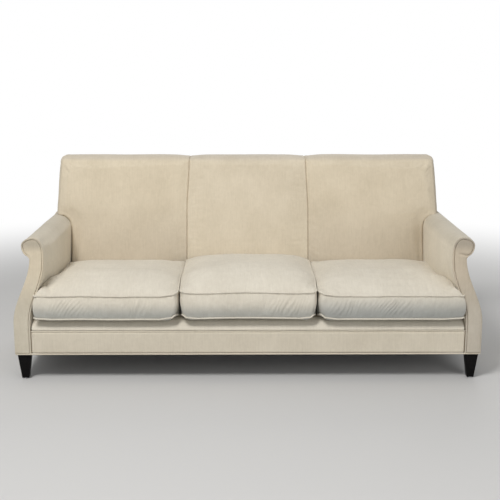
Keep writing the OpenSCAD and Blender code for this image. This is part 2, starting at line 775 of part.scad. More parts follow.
// How far the gaps between the cushions lie outside the seams of the back
cushion_past_seam = 5;
seam_cushion_x = middle_panel_w / 2 + cushion_past_seam;
cushion_arm_gap = 4;
// How far the middle of a welt lies inside the cushion's outline, and the groove that it lies in
welt_in = 1.5;
groove_h = 1.4 * welt_r;
groove_in = welt_r + 4;
bottom_welt_z = cushion_z + 2 + groove_h;
// Draw-in of the underside, of the cover beside a welt, and of the crown at its edge
base_in = 14;
seam_in = 2;
crown_in = 4;
function boxing_h(c) = c == 1 ? middle_boxing_h : side_boxing_h;
function crown_h(c) = c == 1 ? middle_crown : side_crown;
function cushion_in(c) = c == 1 ? -seam_cushion_x + cushion_gap / 2 : seam_cushion_x + cushion_gap / 2;
// Outer side of a cushion at depth y; the side ones follow the arm
function cushion_out(c, y) = c == 1 ? seam_cushion_x - cushion_gap / 2
  : arm_in(cushion_z + side_boxing_h + welt_d, fill_at(y)) - cushion_arm_gap - welt_r;

// Outline of a cushion seen from above, drawn in between its corners
function cushion_plan(c) = let (
    x0 = cushion_in(c),
    r = cushion_corner_r,
    y0 = cushion_y0,
    y1 = cushion_y1,
    xf = cushion_out(c, y0),
    xb = cushion_out(c, y1),
    pull = cushion_draw_in
  ) concat(
    [for (k = [0:3]) let (a = 180 + 30 * k) [x0 + r + r * cos(a), y0 + r + r * sin(a)]],
    [for (k = [1:3]) let (t = k / 4) [mix(x0 + r, xf - r, t), y0 + pull * sin(180 * t)]],
    [for (k = [0:3]) let (a = 270 + 30 * k) [xf - r + r * cos(a), y0 + r + r * sin(a)]],
    [for (k = [1:5]) let (t = k / 6, y = mix(y0 + r, y1 - r, t))
      [cushion_out(c, y) - pull * sin(180 * t) / 2, y]],
    [for (k = [0:3]) let (a = 30 * k) [xb - r + r * cos(a), y1 - r + r * sin(a)]],
    [for (k = [1:3]) let (t = k / 4) [mix(xb - r, x0 + r, t), y1]],
    [for (k = [0:3]) let (a = 90 + 30 * k) [x0 + r + r * cos(a), y1 - r + r * sin(a)]],
    [for (k = [1:3]) let (t = k / 4) [x0, mix(y1 - r, y0 + r, t)]]);

// One ring of a cushion: its outline moved in by inset, shrunk to share, at height z
function cushion_ring(c, inset, share, z) = let (
    x0 = cushion_in(c),
    x1 = cushion_out(c, cushion_y1),
    hx = (x1 - x0) / 2,
    hy = (cushion_y1 - cushion_y0) / 2,
    mx = (x0 + x1) / 2,
    my = (cushion_y0 + cushion_y1) / 2
  ) [for (p = cushion_plan(c)) [mx + (p[0] - mx) * (share - inset / hx),
    my + (p[1] - my) * (share - inset / hy), z]];

// Height of the crown at a share of the way out from the middle
function crown_at(c, share) = crown_h(c) * (1 - pow(share, 3.2));

crown_shares = [0.95, 0.84, 0.64, 0.36];

module cushion_outside(c) {
  h = boxing_h(c);
  z = cushion_z;
  rings = concat(
    [cushion_ring(c, base_in, 1, z), cushion_ring(c, seam_in, 1, bottom_welt_z - groove_h),
      cushion_ring(c, groove_in, 1, bottom_welt_z), cushion_ring(c, seam_in, 1, bottom_welt_z + groove_h),
      cushion_ring(c, 0, 1, z + h / 2), cushion_ring(c, seam_in, 1, z + h - groove_h),
      cushion_ring(c, groove_in, 1, z + h), cushion_ring(c, crown_in - 1, 1, z + h + groove_h)],
    [for (s = crown_shares) cushion_ring(c, crown_in, s, z + h + groove_h + crown_at(c, s))]);
  ring_stack(rings);
}

// Inside of a cushion's cover, or its core, set in by the given amount
module cushion_inside(c, inset) {
  h = boxing_h(c);
  z = cushion_z;
  deep = inset + groove_in;
  base_round = 8;
  base_rise = 5;
  slope_share = 1.4;
  rings = concat(
    [cushion_ring(c, deep + base_round, 1, z + inset), cushion_ring(c, deep, 1, z + inset + base_rise),
      cushion_ring(c, deep, 1, z + h - inset)],
    [for (s = crown_shares)
      cushion_ring(c, deep + crown_in, s, z + h + groove_h + crown_at(c, s) - inset * slope_share)]);
  ring_stack(rings);
}

zip_z = cushion_z + side_boxing_h / 2;
// How much the slot is smaller than the tapes at each edge and at each end
zip_edge = 6;
zip_end = 8;
function zip_x0(c) = cushion_in(c) + zip_end_margin;
function zip_x1(c) = cushion_out(c, cushion_y1) - zip_end_margin;

// Slot that the zip closes, in the rear side of a cushion's cover
module zip_slot(c) {
  slot_h = zip_tape_h - 2 * zip_edge;
  reach = 20;
  translate([zip_x0(c) + zip_end, cushion_y1 - reach, zip_z - slot_h / 2])
    cube([zip_x1(c) - zip_x0(c) - 2 * zip_end, 2 * reach, slot_h]);
}

module cushion_cover(c) {
  color(cloth_light) on_side(c == 0) difference() {
    cushion_outside(c);
    cushion_inside(c, cover_t);
    zip_slot(c);
  }
}

module cushion_core(c) {
  color(foam) on_side(c == 0) cushion_inside(c, cover_t + soft_gap);
}

// Cords sewn round the top and the bottom of a cushion
module cushion_welts(c) {
  color(cloth_light) on_side(c == 0) for (z = [bottom_welt_z, cushion_z + boxing_h(c)])
    cord(cushion_ring(c, welt_in, 1, z), welt_r, sides = 5);
}

// Zip: two tapes behind the cushion, and the row of closed teeth
tape_t = 0.8;
module zip(c) {
  color(zip_colour) on_side(c == 0) translate([0, cushion_y1 + soft_gap, zip_z]) {
    translate([zip_x0(c), 0, -zip_tape_h / 2]) cube([zip_x1(c) - zip_x0(c), tape_t, zip_tape_h]);
    translate([zip_x0(c), tape_t / 2, -zip_teeth_h / 2])
      cube([zip_x1(c) - zip_x0(c), zip_teeth_d + tape_t / 2, zip_teeth_h]);
  }
}

// Slider that straddles the teeth, with its pull hanging down
module zip_slider(c) {
  wall = 1.4;
  end_stop = 4;
  pull_w = 5;
  pull_l = 24;
  pull_t = 1.3;
  pull_root = 4;
  room_h = zip_teeth_h + 2 * slider_gap;
  base_y = cushion_y1 + soft_gap + tape_t + slider_gap;
  top_y = base_y + zip_teeth_d;
  color(steel) on_side(c == 0) translate([zip_x1(c) - slider_l - end_stop, 0, zip_z]) {
    translate([0, top_y, -room_h / 2 - wall]) cube([slider_l, wall, room_h + 2 * wall]);
    for (s = [-1, 1]) translate([0, base_y, s * (room_h + wall) / 2 - wall / 2])
      cube([slider_l, top_y - base_y + wall / 2, wall]);
    translate([(slider_l - pull_w) / 2, top_y + wall / 2, -room_h / 2 - pull_l])
      cube([pull_w, pull_t, pull_l + pull_root]);
  }
}

// Legs
module leg(x, y) {
  a = leg_top / 2;
  b = leg_bottom / 2;
  points = [for (s = [[b, glide_h], [a, dust_z]], c = [[-1, -1], [1, -1], [1, 1], [-1, 1]])
    [c[0] * s[0], c[1] * s[0], s[1]]];
  color(leg_black) difference() {
    translate([x, y, 0]) polyhedron(points,
      [[0, 1, 2, 3], [7, 6, 5, 4], [0, 4, 5, 1], [1, 5, 6, 2], [2, 6, 7, 3], [3, 7, 4, 0]]);
    translate([x, y, 0]) bolt_hole();
  }
}

module leg_fittings() {
  color(steel) for (x = [-leg_x, leg_x], y = [leg_front_y, leg_rear_y]) translate([x, y, 0]) {
    cylinder(d = glide_d, h = glide_h);
    translate([0, 0, bolt_z]) cylinder(d = bolt_d, h = bolt_l);
  }
}

front_seat_rail();
rear_seat_rail();
side_seat_rails();
seat_stretchers();
corner_blocks();
front_arm_stumps();
rear_arm_stumps();
arm_rails();
back_posts();
back_uprights();
back_top_rail();
back_lower_rail();
seat_springs();
spring_clips();
back_webbing();
deck_pad();
deck_cover();
front_edge_roll();
front_border();
border_seam_cord();
base_welt();
dust_cover();
arm_padding(true);  // left_arm_padding
arm_padding(false);  // right_arm_padding
arm_cover(true);  // left_arm_cover
arm_cover(false);  // right_arm_cover
outer_arm_panel(true);  // left_outer_arm_panel
outer_arm_panel(false);  // right_outer_arm_panel
facing(true);  // left_facing
facing(false);  // right_facing
facing_welt(true);  // left_facing_welt
facing_welt(false);  // right_facing_welt
back_foam(0);  // left_back_foam
back_foam(1);  // middle_back_foam
back_foam(2);  // right_back_foam
back_cover(0);  // left_back_cover
back_cover(1);  // middle_back_cover
back_cover(2);  // right_back_cover
back_side_panels();
outside_back_cover();
cushion_core(0);  // left_cushion_core
cushion_cover(0);  // left_cushion_cover
cushion_welts(0);  // left_cushion_welts
zip(0);  // left_zip
zip_slider(0);  // left_zip_slider
cushion_core(1);  // middle_cushion_core
cushion_cover(1);  // middle_cushion_cover
cushion_welts(1);  // middle_cushion_welts
zip(1);  // middle_zip
zip_slider(1);  // middle_zip_slider
cushion_core(2);  // right_cushion_core
cushion_cover(2);  // right_cushion_cover
cushion_welts(2);  // right_cushion_welts
zip(2);  // right_zip
zip_slider(2);  // right_zip_slider
leg(-leg_x, leg_front_y);  // front_left_leg
leg(leg_x, leg_front_y);  // front_right_leg
leg(-leg_x, leg_rear_y);  // rear_left_leg
leg(leg_x, leg_rear_y);  // rear_right_leg
leg_fittings();
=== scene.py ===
import math

import bmesh
import bpy
from mathutils import Matrix, Vector, noise


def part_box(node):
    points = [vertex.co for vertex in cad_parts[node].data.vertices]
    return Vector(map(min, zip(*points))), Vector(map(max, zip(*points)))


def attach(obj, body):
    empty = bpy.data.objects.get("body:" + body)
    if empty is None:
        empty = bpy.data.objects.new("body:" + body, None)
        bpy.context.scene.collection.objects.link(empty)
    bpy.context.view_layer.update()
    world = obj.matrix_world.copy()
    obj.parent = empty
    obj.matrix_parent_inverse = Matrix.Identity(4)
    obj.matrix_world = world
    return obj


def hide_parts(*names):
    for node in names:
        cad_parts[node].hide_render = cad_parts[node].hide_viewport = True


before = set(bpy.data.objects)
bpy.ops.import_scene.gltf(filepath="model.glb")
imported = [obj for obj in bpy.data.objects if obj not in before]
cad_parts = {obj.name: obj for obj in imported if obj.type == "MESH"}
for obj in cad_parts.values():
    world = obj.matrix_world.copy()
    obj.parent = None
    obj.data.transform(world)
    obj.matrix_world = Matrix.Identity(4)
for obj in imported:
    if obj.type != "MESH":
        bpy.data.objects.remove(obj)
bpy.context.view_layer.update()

bpy.context.scene.view_settings.view_transform = "Standard"


# The studio: a pale floor that runs out into white, so that no edge of it shows. A large soft lamp hangs
# in front and to the left, a weak one stands to the right and one behind, and a dim room fills in.
floor_radius = 24.0
floor_colour = (0.60, 0.59, 0.575, 1)
white_from, white_to = 1.9, 4.2
lamps = {
    "key_lamp": ((-1.8, -3.3, 4.9), 1.5, 205),
    "fill_lamp": ((2.6, -4.2, 1.7), 2.0, 40),
    "rear_lamp": ((1.6, 4.4, 3.0), 2.4, 40),
}
lamp_aim = Vector((0, -0.05, 0.45))
room_light = 0.36


def put(tree, kind, values=None, **settings):
    """Adds a shader node with its settings, and fills its sockets with values or links."""
    made = tree.nodes.new("ShaderNode" + kind)
    for name, value in settings.items():
        setattr(made, name, value)
    for name, value in (values or {}).items():
        if isinstance(value, bpy.types.NodeSocket):
            tree.links.new(value, made.inputs[name])
        else:
            made.inputs[name].default_value = value
    return made


def new_material(name):
    """A new material, its empty node tree, and the place on the object that its patterns follow."""
    material = bpy.data.materials.new(name)
    material.use_nodes = True
    tree = material.node_tree
    tree.nodes.clear()
    return material, tree, put(tree, "TexCoord").outputs["Object"]


def seen_directly(tree):
    """1 for what the camera, a reflection or a clear material shows, and 0 for what lights the object."""
    path = put(tree, "LightPath")
    either = put(tree, "Math", {0: path.outputs["Is Camera Ray"], 1: path.outputs["Is Glossy Ray"]},
                 operation="MAXIMUM")
    return put(tree, "Math", {0: either.outputs[0], 1: path.outputs["Is Transmission Ray"]},
               operation="MAXIMUM").outputs[0]


bpy.ops.object.select_all(action="DESELECT")
bpy.ops.mesh.primitive_circle_add(vertices=64, radius=floor_radius, fill_type="NGON")
floor = bpy.context.object
floor.name = "floor"
paint, tree, place = new_material("pale_floor")
away = put(tree, "VectorMath", {0: place}, operation="LENGTH").outputs["Value"]
fade = put(tree, "MapRange", {"Value": away, "From Min": white_from, "From Max": white_to},
           interpolation_type="SMOOTHSTEP").outputs[0]
fade = put(tree, "Math", {0: fade, 1: seen_directly(tree)}, operation="MULTIPLY").outputs[0]
matt = put(tree, "BsdfPrincipled", {"Base Color": floor_colour, "Roughness": 0.8})
white = put(tree, "Emission", {"Color": (1, 1, 1, 1), "Strength": 1.0})
mixed = put(tree, "MixShader", {0: fade, 1: matt.outputs[0], 2: white.outputs[0]})
put(tree, "OutputMaterial", {"Surface": mixed.outputs[0]})
floor.data.materials.append(paint)

world = bpy.data.worlds.new("white_room")
bpy.context.scene.world = world
world.use_nodes = True
tree = world.node_tree
tree.nodes.clear()
dim = put(tree, "Background", {"Color": (0.96, 0.98, 1.0, 1), "Strength": room_light})
plain = put(tree, "Background", {"Color": (1, 1, 1, 1), "Strength": 1.0})
mixed = put(tree, "MixShader", {0: seen_directly(tree), 1: dim.outputs[0], 2: plain.outputs[0]})
put(tree, "OutputWorld", {"Surface": mixed.outputs[0]})

for name, (spot, size, power) in lamps.items():
    light = bpy.data.lights.new(name, "AREA")
    light.size = size
    light.energy = power
    lamp = bpy.data.objects.new(name, light)
    bpy.context.scene.collection.objects.link(lamp)
    lamp.location = spot
    lamp.rotation_euler = (lamp_aim - Vector(spot)).to_track_quat("-Z", "Y").to_euler()


# The camera: where the photograph was taken from, 1.46 m up and 4.1 m in front of the arms, a little to
# the left of the middle, looking down 11.9 degrees with a lens of 68 mm on a 36 mm sensor.
camera_place = (-0.032, -4.496, 1.460)
camera_down, camera_right, camera_roll = 11.87, 0.54, 0.06
camera_data = bpy.data.cameras.new("camera")
camera_data.sensor_width = 36
camera_data.lens = 68.3
camera = bpy.data.objects.new("camera", camera_data)
bpy.context.scene.collection.objects.link(camera)
turn = Matrix.Rotation(math.radians(-camera_right), 3, "Z")
turn = turn @ Matrix.Rotation(math.radians(90 - camera_down), 3, "X")
turn = turn @ Matrix.Rotation(math.radians(camera_roll), 3, "Z")
camera.rotation_euler = turn.to_euler()
camera.location = camera_place
bpy.context.scene.camera = camera


# The wooden frame: sawn hardwood rails, posts and blocks, and arm stumps cut from plywood, glued and
# screwed. The padding and cloth hide it, and the grain runs along each board.
def paint_nodes(material, *names):
    """Gives frame nodes whose shape is right as it is a material of their own."""
    for name in names:
        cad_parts[name].data.materials.clear()
        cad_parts[name].data.materials.append(material)


def surface(tree, tone, dark, light, shine, rough, relief=None, **fixed):
    """Ends a material. Its colour runs from dark to light with the tone, its roughness with the shine, and
    relief is the height, strength and depth of its bumps."""
    colour = put(tree, "Mix", {0: tone, 6: dark + (1,), 7: light + (1,)}, data_type="RGBA").outputs[2]
    rough = put(tree, "MapRange", {"Value": shine, "To Min": rough[0], "To Max": rough[1]}).outputs[0]
    values = {"Base Color": colour, "Roughness": rough}
    if relief:
        height, strength, depth = relief
        bump = put(tree, "Bump", {"Height": height, "Strength": strength, "Distance": depth})
        values["Normal"] = bump.outputs[0]
    values.update(fixed)
    shade = put(tree, "BsdfPrincipled", values)
    put(tree, "OutputMaterial", {"Surface": shade.outputs[0]})


def cloudy(tree, place, scale, detail, distortion=0.0, roughness=0.5):
    """A soft uneven pattern."""
    values = {"Vector": place, "Scale": scale, "Detail": detail, "Distortion": distortion,
              "Roughness": roughness}
    return put(tree, "TexNoise", values).outputs[0]


def wood_material(name, stretch):
    """Sawn hardwood: bands of growth rings, stretched along the board, and fine open pores."""
    material, tree, place = new_material(name)
    along = put(tree, "Mapping", {"Vector": place, "Scale": stretch}).outputs[0]
    rings = cloudy(tree, along, 1.0, 3, 0.6)
    bands = put(tree, "Math", {0: rings, 1: 9.0}, operation="MULTIPLY").outputs[0]
    bands = put(tree, "Math", {0: bands, 1: 1.0}, operation="PINGPONG").outputs[0]
    pores = cloudy(tree, along, 9.0, 2)
    tone = put(tree, "Math", {0: bands, 1: pores}, operation="MULTIPLY").outputs[0]
    surface(tree, tone, (0.66, 0.47, 0.27), (0.80, 0.65, 0.43), pores, (0.65, 0.85), (tone, 0.3, 0.0004))
    return material


paint_nodes(wood_material("hardwood_across", (3, 40, 40)),
            "front_seat_rail", "rear_seat_rail", "back_top_rail", "back_lower_rail")
paint_nodes(wood_material("hardwood_deep", (40, 3, 40)), "side_seat_rails", "seat_stretchers", "arm_rails")
paint_nodes(wood_material("hardwood_upright", (40, 40, 3)),
            "front_arm_stumps", "rear_arm_stumps", "back_posts", "back_uprights", "corner_blocks")


# Springs, clips and leg fittings: sinuous wire springs in bent clips, and the bolts and glides of the
# legs, all of zinc-plated steel with a faintly mottled shine.
zinc, tree, place = new_material("bright_zinc")
cloud = cloudy(tree, place, 90, 4)
surface(tree, cloud, (0.496, 0.504, 0.520), (0.62, 0.63, 0.65), cloud, (0.22, 0.42), (cloud, 0.15, 0.0003),
        Metallic=1.0)
paint_nodes(zinc, "seat_springs", "spring_clips", "leg_fittings")


# The webbing of the back: woven elastic straps in a ribbed weave, stretched and stapled to the top and the
# lower rail behind the foam.
webbing, tree, place = new_material("elastic_webbing")
ribs = put(tree, "TexWave", {"Vector": place, "Scale": 110, "Distortion": 1.5, "Detail": 2},
           bands_direction="Z").outputs[1]
yarns = put(tree, "TexWave", {"Vector": place, "Scale": 180, "Distortion": 1.0},
            bands_direction="X").outputs[1]
weave = put(tree, "Math", {0: ribs, 1: yarns}, operation="MULTIPLY").outputs[0]
surface(tree, weave, (0.36, 0.33, 0.27), (0.62, 0.58, 0.49), weave, (0.75, 0.95), (weave, 0.6, 0.0006))
paint_nodes(webbing, "back_webbing")


# The arms: foam over the stumps and rails, under one brushed cotton cover that is tacked below the notch,
# runs over the scroll and down the inside. It fills out behind the stump and is pulled tight round the front.
# The arm cloth is painted lighter than the warm cloth of the back and facings, to lift the shade that falls
# on the arms.
lightened_arm_cloth = ((0.760, 0.691, 0.565, 1), (0.663, 0.598, 0.480, 1))
nap_across_y = (16, 420, 16)

neck_x = 0.966
scroll_x = 1.000
shoulder_x = 0.947
facing_in_x = 0.903
foot_in_x = 0.976
full_in_x = 0.886
arm_top = 0.655
scroll_z = 0.619
scroll_curl = 0.049
round_z = 0.590
neck_z = 0.562
flare_z = 0.266
inner_flare_z = 0.545
tuck_z = 0.226
stump_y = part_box("right_arm_cover")[0].y
cover_y = stump_y - 0.0015
swell_y = stump_y + 0.046
swell_run = 0.166
arm_pad = 0.012
rear_foot_y = 0.32705
rear_lean_z, rear_lean_height, rear_lean = 0.350, 0.555, 8.5
rear_tuck = 0.0030


def added_up(tree, *parts):
    """The sum of patterns, each with its share."""
    total = 0.0
    for pattern, share in parts:
        total = put(tree, "Math", {0: pattern, 1: share, 2: total}, operation="MULTIPLY_ADD").outputs[0]
    return total


def brushed_cloth():
    """Node group of the brushed cotton: a short nap in fine streaks, brushed patches and soft mottling."""
    group = bpy.data.node_groups.new("brushed_cloth", "ShaderNodeTree")
    sockets = (("Nap", "INPUT", "Vector"), ("Light", "INPUT", "Color"), ("Deep", "INPUT", "Color"),
               ("Color", "OUTPUT", "Color"), ("Roughness", "OUTPUT", "Float"), ("Height", "OUTPUT", "Float"))
    for name, way, kind in sockets:
        group.interface.new_socket(name, in_out=way, socket_type="NodeSocket" + kind)
    given = group.nodes.new("NodeGroupInput").outputs
    place = put(group, "TexCoord").outputs["Object"]
    along = put(group, "Mapping", {"Vector": place, "Scale": given["Nap"]}).outputs[0]
    streaks = cloudy(group, along, 1.0, 4, roughness=0.65)
    mottle = cloudy(group, place, 6.5, 3)
    brushed = cloudy(group, place, 42, 3, 1.1)
    pile = cloudy(group, place, 1500, 2)
    tone = added_up(group, (streaks, 0.40), (mottle, 0.35), (brushed, 0.25))
    share = put(group, "MapRange", {"Value": tone, "From Min": 0.38, "From Max": 0.62}).outputs[0]
    colour = put(group, "Mix", {0: share, 6: given["Deep"], 7: given["Light"]}, data_type="RGBA").outputs[2]
    rough = put(group, "MapRange", {"Value": tone, "From Min": 0.3, "From Max": 0.7,
                                    "To Min": 0.95, "To Max": 0.78}).outputs[0]
    height = added_up(group, (streaks, 0.5), (pile, 0.5))
    result = group.nodes.new("NodeGroupOutput").inputs
    for name, value in (("Color", colour), ("Roughness", rough), ("Height", height)):
        group.links.new(value, result[name])
    return group


cloth_group = brushed_cloth()


def cloth_material(name, tones, nap, shade_and_soil=()):
    """Brushed cotton of one dye, with its nap in the given direction and a soft sheen. Each tint it is given
    comes in between two heights; most of them are painted shade, and some are partly soiling."""
    material, tree, place = new_material(name)
    cloth = put(tree, "Group", {}, node_tree=cloth_group)
    cloth.inputs["Nap"].default_value = nap
    cloth.inputs["Light"].default_value = tones[0]
    cloth.inputs["Deep"].default_value = tones[1]
    colour = cloth.outputs["Color"]
    # Each tint multiplies the colour from one height to the other: mostly painted shade, in places soiling
    # too.
    for tint, untinted_z, tinted_z in shade_and_soil:
        height = put(tree, "SeparateXYZ", {0: place}).outputs["Z"]
        share = put(tree, "MapRange", {"Value": height, "From Min": untinted_z, "From Max": tinted_z},
                    interpolation_type="SMOOTHSTEP").outputs[0]
        colour = put(tree, "Mix", {0: share, 6: colour, 7: tint}, data_type="RGBA",
                     blend_type="MULTIPLY").outputs[2]
    bump = put(tree, "Bump", {"Height": cloth.outputs["Height"], "Strength": 0.45, "Distance": 0.0006})
    shade = put(tree, "BsdfPrincipled", {
        "Base Color": colour, "Roughness": cloth.outputs["Roughness"],
        "Normal": bump.outputs[0], "Sheen Weight": 0.22, "Sheen Roughness": 0.5,
        "Sheen Tint": (1.0, 0.97, 0.91, 1), "Specular IOR Level": 0.25})
    put(tree, "OutputMaterial", {"Surface": shade.outputs[0]})
    return material


# The arm cloth turns darker over the top of the scroll, from 0.595 to 0.640 m up.
darker_scroll_top = ((0.785, 0.78, 0.77, 1), 0.595, 0.640)
arm_y = cloth_material("arm_cloth_nap_along", lightened_arm_cloth, nap_across_y, [darker_scroll_top])


def mix(a, b, share):
    """The value a share of the way from a to b."""
    return a + (b - a) * share


def smooth(t):
    """Rises softly from 0 to 1."""
    t = min(max(t, 0.0), 1.0)
    return t * t * (3 - 2 * t)


def ripple(place, fineness, start=(0, 0, 0)):
    """Smooth noise at a place, with its own fineness along x, y and z."""
    return noise.noise(Vector([part * fine + first for part, fine, first in zip(place, fineness, start)]))


def facing_in(z):
    """Inner side of an arm's facing at height z."""
    return mix(foot_in_x, facing_in_x, smooth((z - flare_z) / (inner_flare_z - flare_z)))


def arm_fill(y):
    """How far the inside pad has filled out at depth y, from 0 at the facing to 1."""
    return smooth((y - swell_y) / swell_run)


def arm_in(z, fill):
    """Inner side of an arm at height z."""
    return mix(facing_in(z), full_in_x, fill)


def arc(centre, wide, high, start, end, steps):
    """Points (x, z) on part of an ellipse, its two ends included."""
    turns = [math.radians(mix(start, end, k / steps)) for k in range(steps + 1)]
    return [(centre[0] + wide * math.cos(a), centre[1] + high * math.sin(a)) for a in turns]


def arm_section(fill, inset=0.0):
    """Outline (x, z) of the right arm from the notch, over the scroll and down the inside."""
    inner = shoulder_x - mix(facing_in_x, full_in_x, fill)
    under = arc((neck_x, scroll_z), scroll_x - neck_x - inset, scroll_curl - inset, -78, -13, 5)
    outer = arc((shoulder_x, scroll_z), scroll_x - shoulder_x - inset, arm_top - scroll_z - inset, 0, 90, 8)
    over = arc((shoulder_x, round_z), inner - inset, arm_top - round_z - inset, 99, 180, 9)
    down = [mix(round_z, tuck_z, k / 9) for k in range(1, 10)]
    return under + outer + over + [(arm_in(z, fill) + inset, z) for z in down]


def back_rear(z):
    """Depth of the outside back at height z: upright at the foot, and leaning above it."""
    above = min(max(z - rear_lean_z, 0.0), rear_lean_height)
    return rear_foot_y + above * math.tan(math.radians(rear_lean))


def select_only(*pieces):
    """Selects these pieces and nothing else, in object mode."""
    bpy.ops.object.select_all(action="DESELECT")
    for piece in pieces:
        piece.select_set(True)
    bpy.context.view_layer.objects.active = pieces[0]


def open_up(piece):
    """Goes into edit mode, with all of one piece selected."""
    select_only(piece)
    bpy.ops.object.mode_set(mode="EDIT")
    bpy.ops.mesh.select_all(action="SELECT")


def trace(name, points, closed=False):
    """Draws an outline by pulling one vertex from point to point; a closed one gets its face."""
    points = [Vector(p) for p in points]
    bpy.ops.object.select_all(action="DESELECT")
    bpy.ops.mesh.primitive_plane_add(size=0.01, location=points[0])
    piece = bpy.context.object
    piece.name = piece.data.name = name
    bpy.ops.object.transform_apply()
    bpy.ops.object.mode_set(mode="EDIT")
    bpy.ops.mesh.merge(type="CENTER")
    for before, after in zip(points, points[1:]):
        bpy.ops.mesh.extrude_region_move(TRANSFORM_OT_translate={"value": after - before})
    if closed:
        bpy.ops.mesh.select_all(action="SELECT")
        bpy.ops.mesh.edge_face_add()
    bpy.ops.object.mode_set(mode="OBJECT")
    return piece


def bridge(name, outlines, cuts=0):
    """Stretches a skin over outlines that are drawn one behind the other."""
    rows = [trace(f"{name}_row", points) for points in outlines]
    select_only(*rows)
    bpy.ops.object.join()
    piece = bpy.context.object
    piece.name = piece.data.name = name
    open_up(piece)
    bpy.ops.mesh.bridge_edge_loops(number_cuts=cuts, interpolation="LINEAR")
    bpy.ops.object.mode_set(mode="OBJECT")
    return piece


def face_away(piece, inside):
    """Turns the faces of a skin so that they point away from a point inside it."""
    facing = sum((face.center - inside(face.center)).dot(face.normal) * face.area
                 for face in piece.data.polygons)
    if facing < 0:
        piece.data.flip_normals()


def add_modifier(piece, kind, **settings):
    """Adds a modifier and applies it."""
    select_only(piece)
    modifier = piece.modifiers.new(kind.lower(), kind)
    for name, value in settings.items():
        setattr(modifier, name, value)
    bpy.ops.object.modifier_apply(modifier=modifier.name)


def subdivide_smoothly(piece):
    """Rounds a piece off with a subdivision surface."""
    add_modifier(piece, "SUBSURF", levels=1, render_levels=1)


def push(piece, move):
    """Moves each vertex by what move(place, normal) gives."""
    steps = [move(v.co.copy(), v.normal.copy()) for v in piece.data.vertices]
    for vertex, step in zip(piece.data.vertices, steps):
        vertex.co += step
    piece.data.update()


def mirrored(piece, name):
    """A copy on the other side of the middle, with its faces still pointing out."""
    select_only(piece)
    bpy.ops.object.duplicate()
    other = bpy.context.object
    other.name = other.data.name = name
    other.scale.x = -1
    bpy.ops.object.transform_apply()
    return other


def finish_piece(piece, material, *nodes, slot="upholstery", body="sofa", sharp_from=180):
    """Dresses a finished piece, shades it smooth between the edges that bend more than sharp_from degrees,
    hides the nodes it stands for, and hangs it on the body it moves with."""
    piece.data.materials.clear()
    piece.data.materials.append(material)
    select_only(piece)
    bpy.ops.object.shade_smooth_by_angle(angle=math.radians(sharp_from))
    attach(piece, body)
    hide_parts(*nodes)


arm_depths = [cover_y, stump_y + 0.002, swell_y] + [swell_y + swell_run * k / 5 for k in range(1, 6)]
tucked = [(neck_x - 0.006, neck_z - 0.002), (neck_x + 0.0012, neck_z + 0.004)]
rows = [[Vector((x, y, z)) for x, z in tucked + arm_section(arm_fill(y))] for y in arm_depths]
for share in (0.25, 0.5, 0.75, 0.985, 1.0):
    rows.append([Vector((x, mix(arm_depths[-1], back_rear(z) - rear_tuck, share), z))
                 for x, z in tucked + arm_section(1.0)])
right_arm = bridge("right_arm_pad", rows)
face_away(right_arm, lambda p: Vector((0.965, p.y, min(p.z, 0.60))))
add_modifier(right_arm, "SOLIDIFY", thickness=arm_pad, offset=-1)
subdivide_smoothly(right_arm)
subdivide_smoothly(right_arm)


def arm_rumple(place, normal):
    """Soft hollows on the inside of an arm, and short pulls where the cover turns round the stump."""
    inside = max(0.0, -normal.x * math.copysign(1, place.x))
    broad = noise.noise(place * 5.0) * 0.0030
    pulls = ripple(place, (4, 9, 34)) * 0.0016
    dimples = ripple(place, (26, 16, 26)) * 0.0030
    near = math.exp(-max(0.0, place.y - stump_y) / 0.09)
    above = smooth((place.z - 0.60) / 0.03)
    full = 0.0025 * smooth((place.y - stump_y - 0.004) / 0.03) * above
    return normal * (broad * (0.35 + inside) + pulls * near * inside + dimples * near * above + full)


left_arm = mirrored(right_arm, "left_arm_pad")
for side, arm in (("right", right_arm), ("left", left_arm)):
    push(arm, arm_rumple)
    finish_piece(arm, arm_y, f"{side}_arm_padding", f"{side}_arm_cover")


# The outer arm panels: plain cloth over card, blind-sewn under the scroll and along the facing, and
# tacked under the side rail.
x_foot = 1.050
hem_z = 0.1263
card_cloth = 0.0026


def arm_out(z):
    """Outer side of an arm at height z."""
    return mix(x_foot, neck_x, smooth((z - flare_z) / (neck_z - flare_z)))


def arm_side(inset=0.0, low=hem_z):
    """Outer side (x, z) of the right arm from its foot up to the neck."""
    return [(arm_out(z) - inset, z) for z in [mix(low, neck_z, k / 18) for k in range(19)]]


for side, way in (("right", 1), ("left", -1)):
    outline = arm_side() + [(neck_x, neck_z + 0.007)]
    front = [Vector((way * x, cover_y, z)) for x, z in outline]
    rear = [Vector((way * x, back_rear(z) - rear_tuck, z)) for x, z in outline]
    panel = bridge(f"{side}_outer_arm", [front, rear], cuts=20)
    face_away(panel, lambda p: Vector((0, p.y, p.z)))
    add_modifier(panel, "SOLIDIFY", thickness=card_cloth, offset=-1)
    push(panel, lambda p, n: n * noise.noise(p * 4.0) * 0.0012)
    finish_piece(panel, arm_y, f"{side}_outer_arm_panel", sharp_from=50)


# The facings: a thin pad on each stump, covered with cloth and edged with a sewn welt that runs up the
# outside, round the scroll and down the inside to the bottom edge.
facing_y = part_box("right_facing")[0].y
facing_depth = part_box("right_facing")[1].y - facing_y
foot_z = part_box("right_facing")[0].z
welt_r = 0.004
facing_inset, facing_outer_inset = 0.0084, 0.0045
notch_z = 0.570
crease_z, crease_depth = 0.574, 0.0060

cloth_warm = ((0.690, 0.600, 0.455, 1), (0.600, 0.515, 0.380, 1))
nap_across_x = (420, 16, 16)
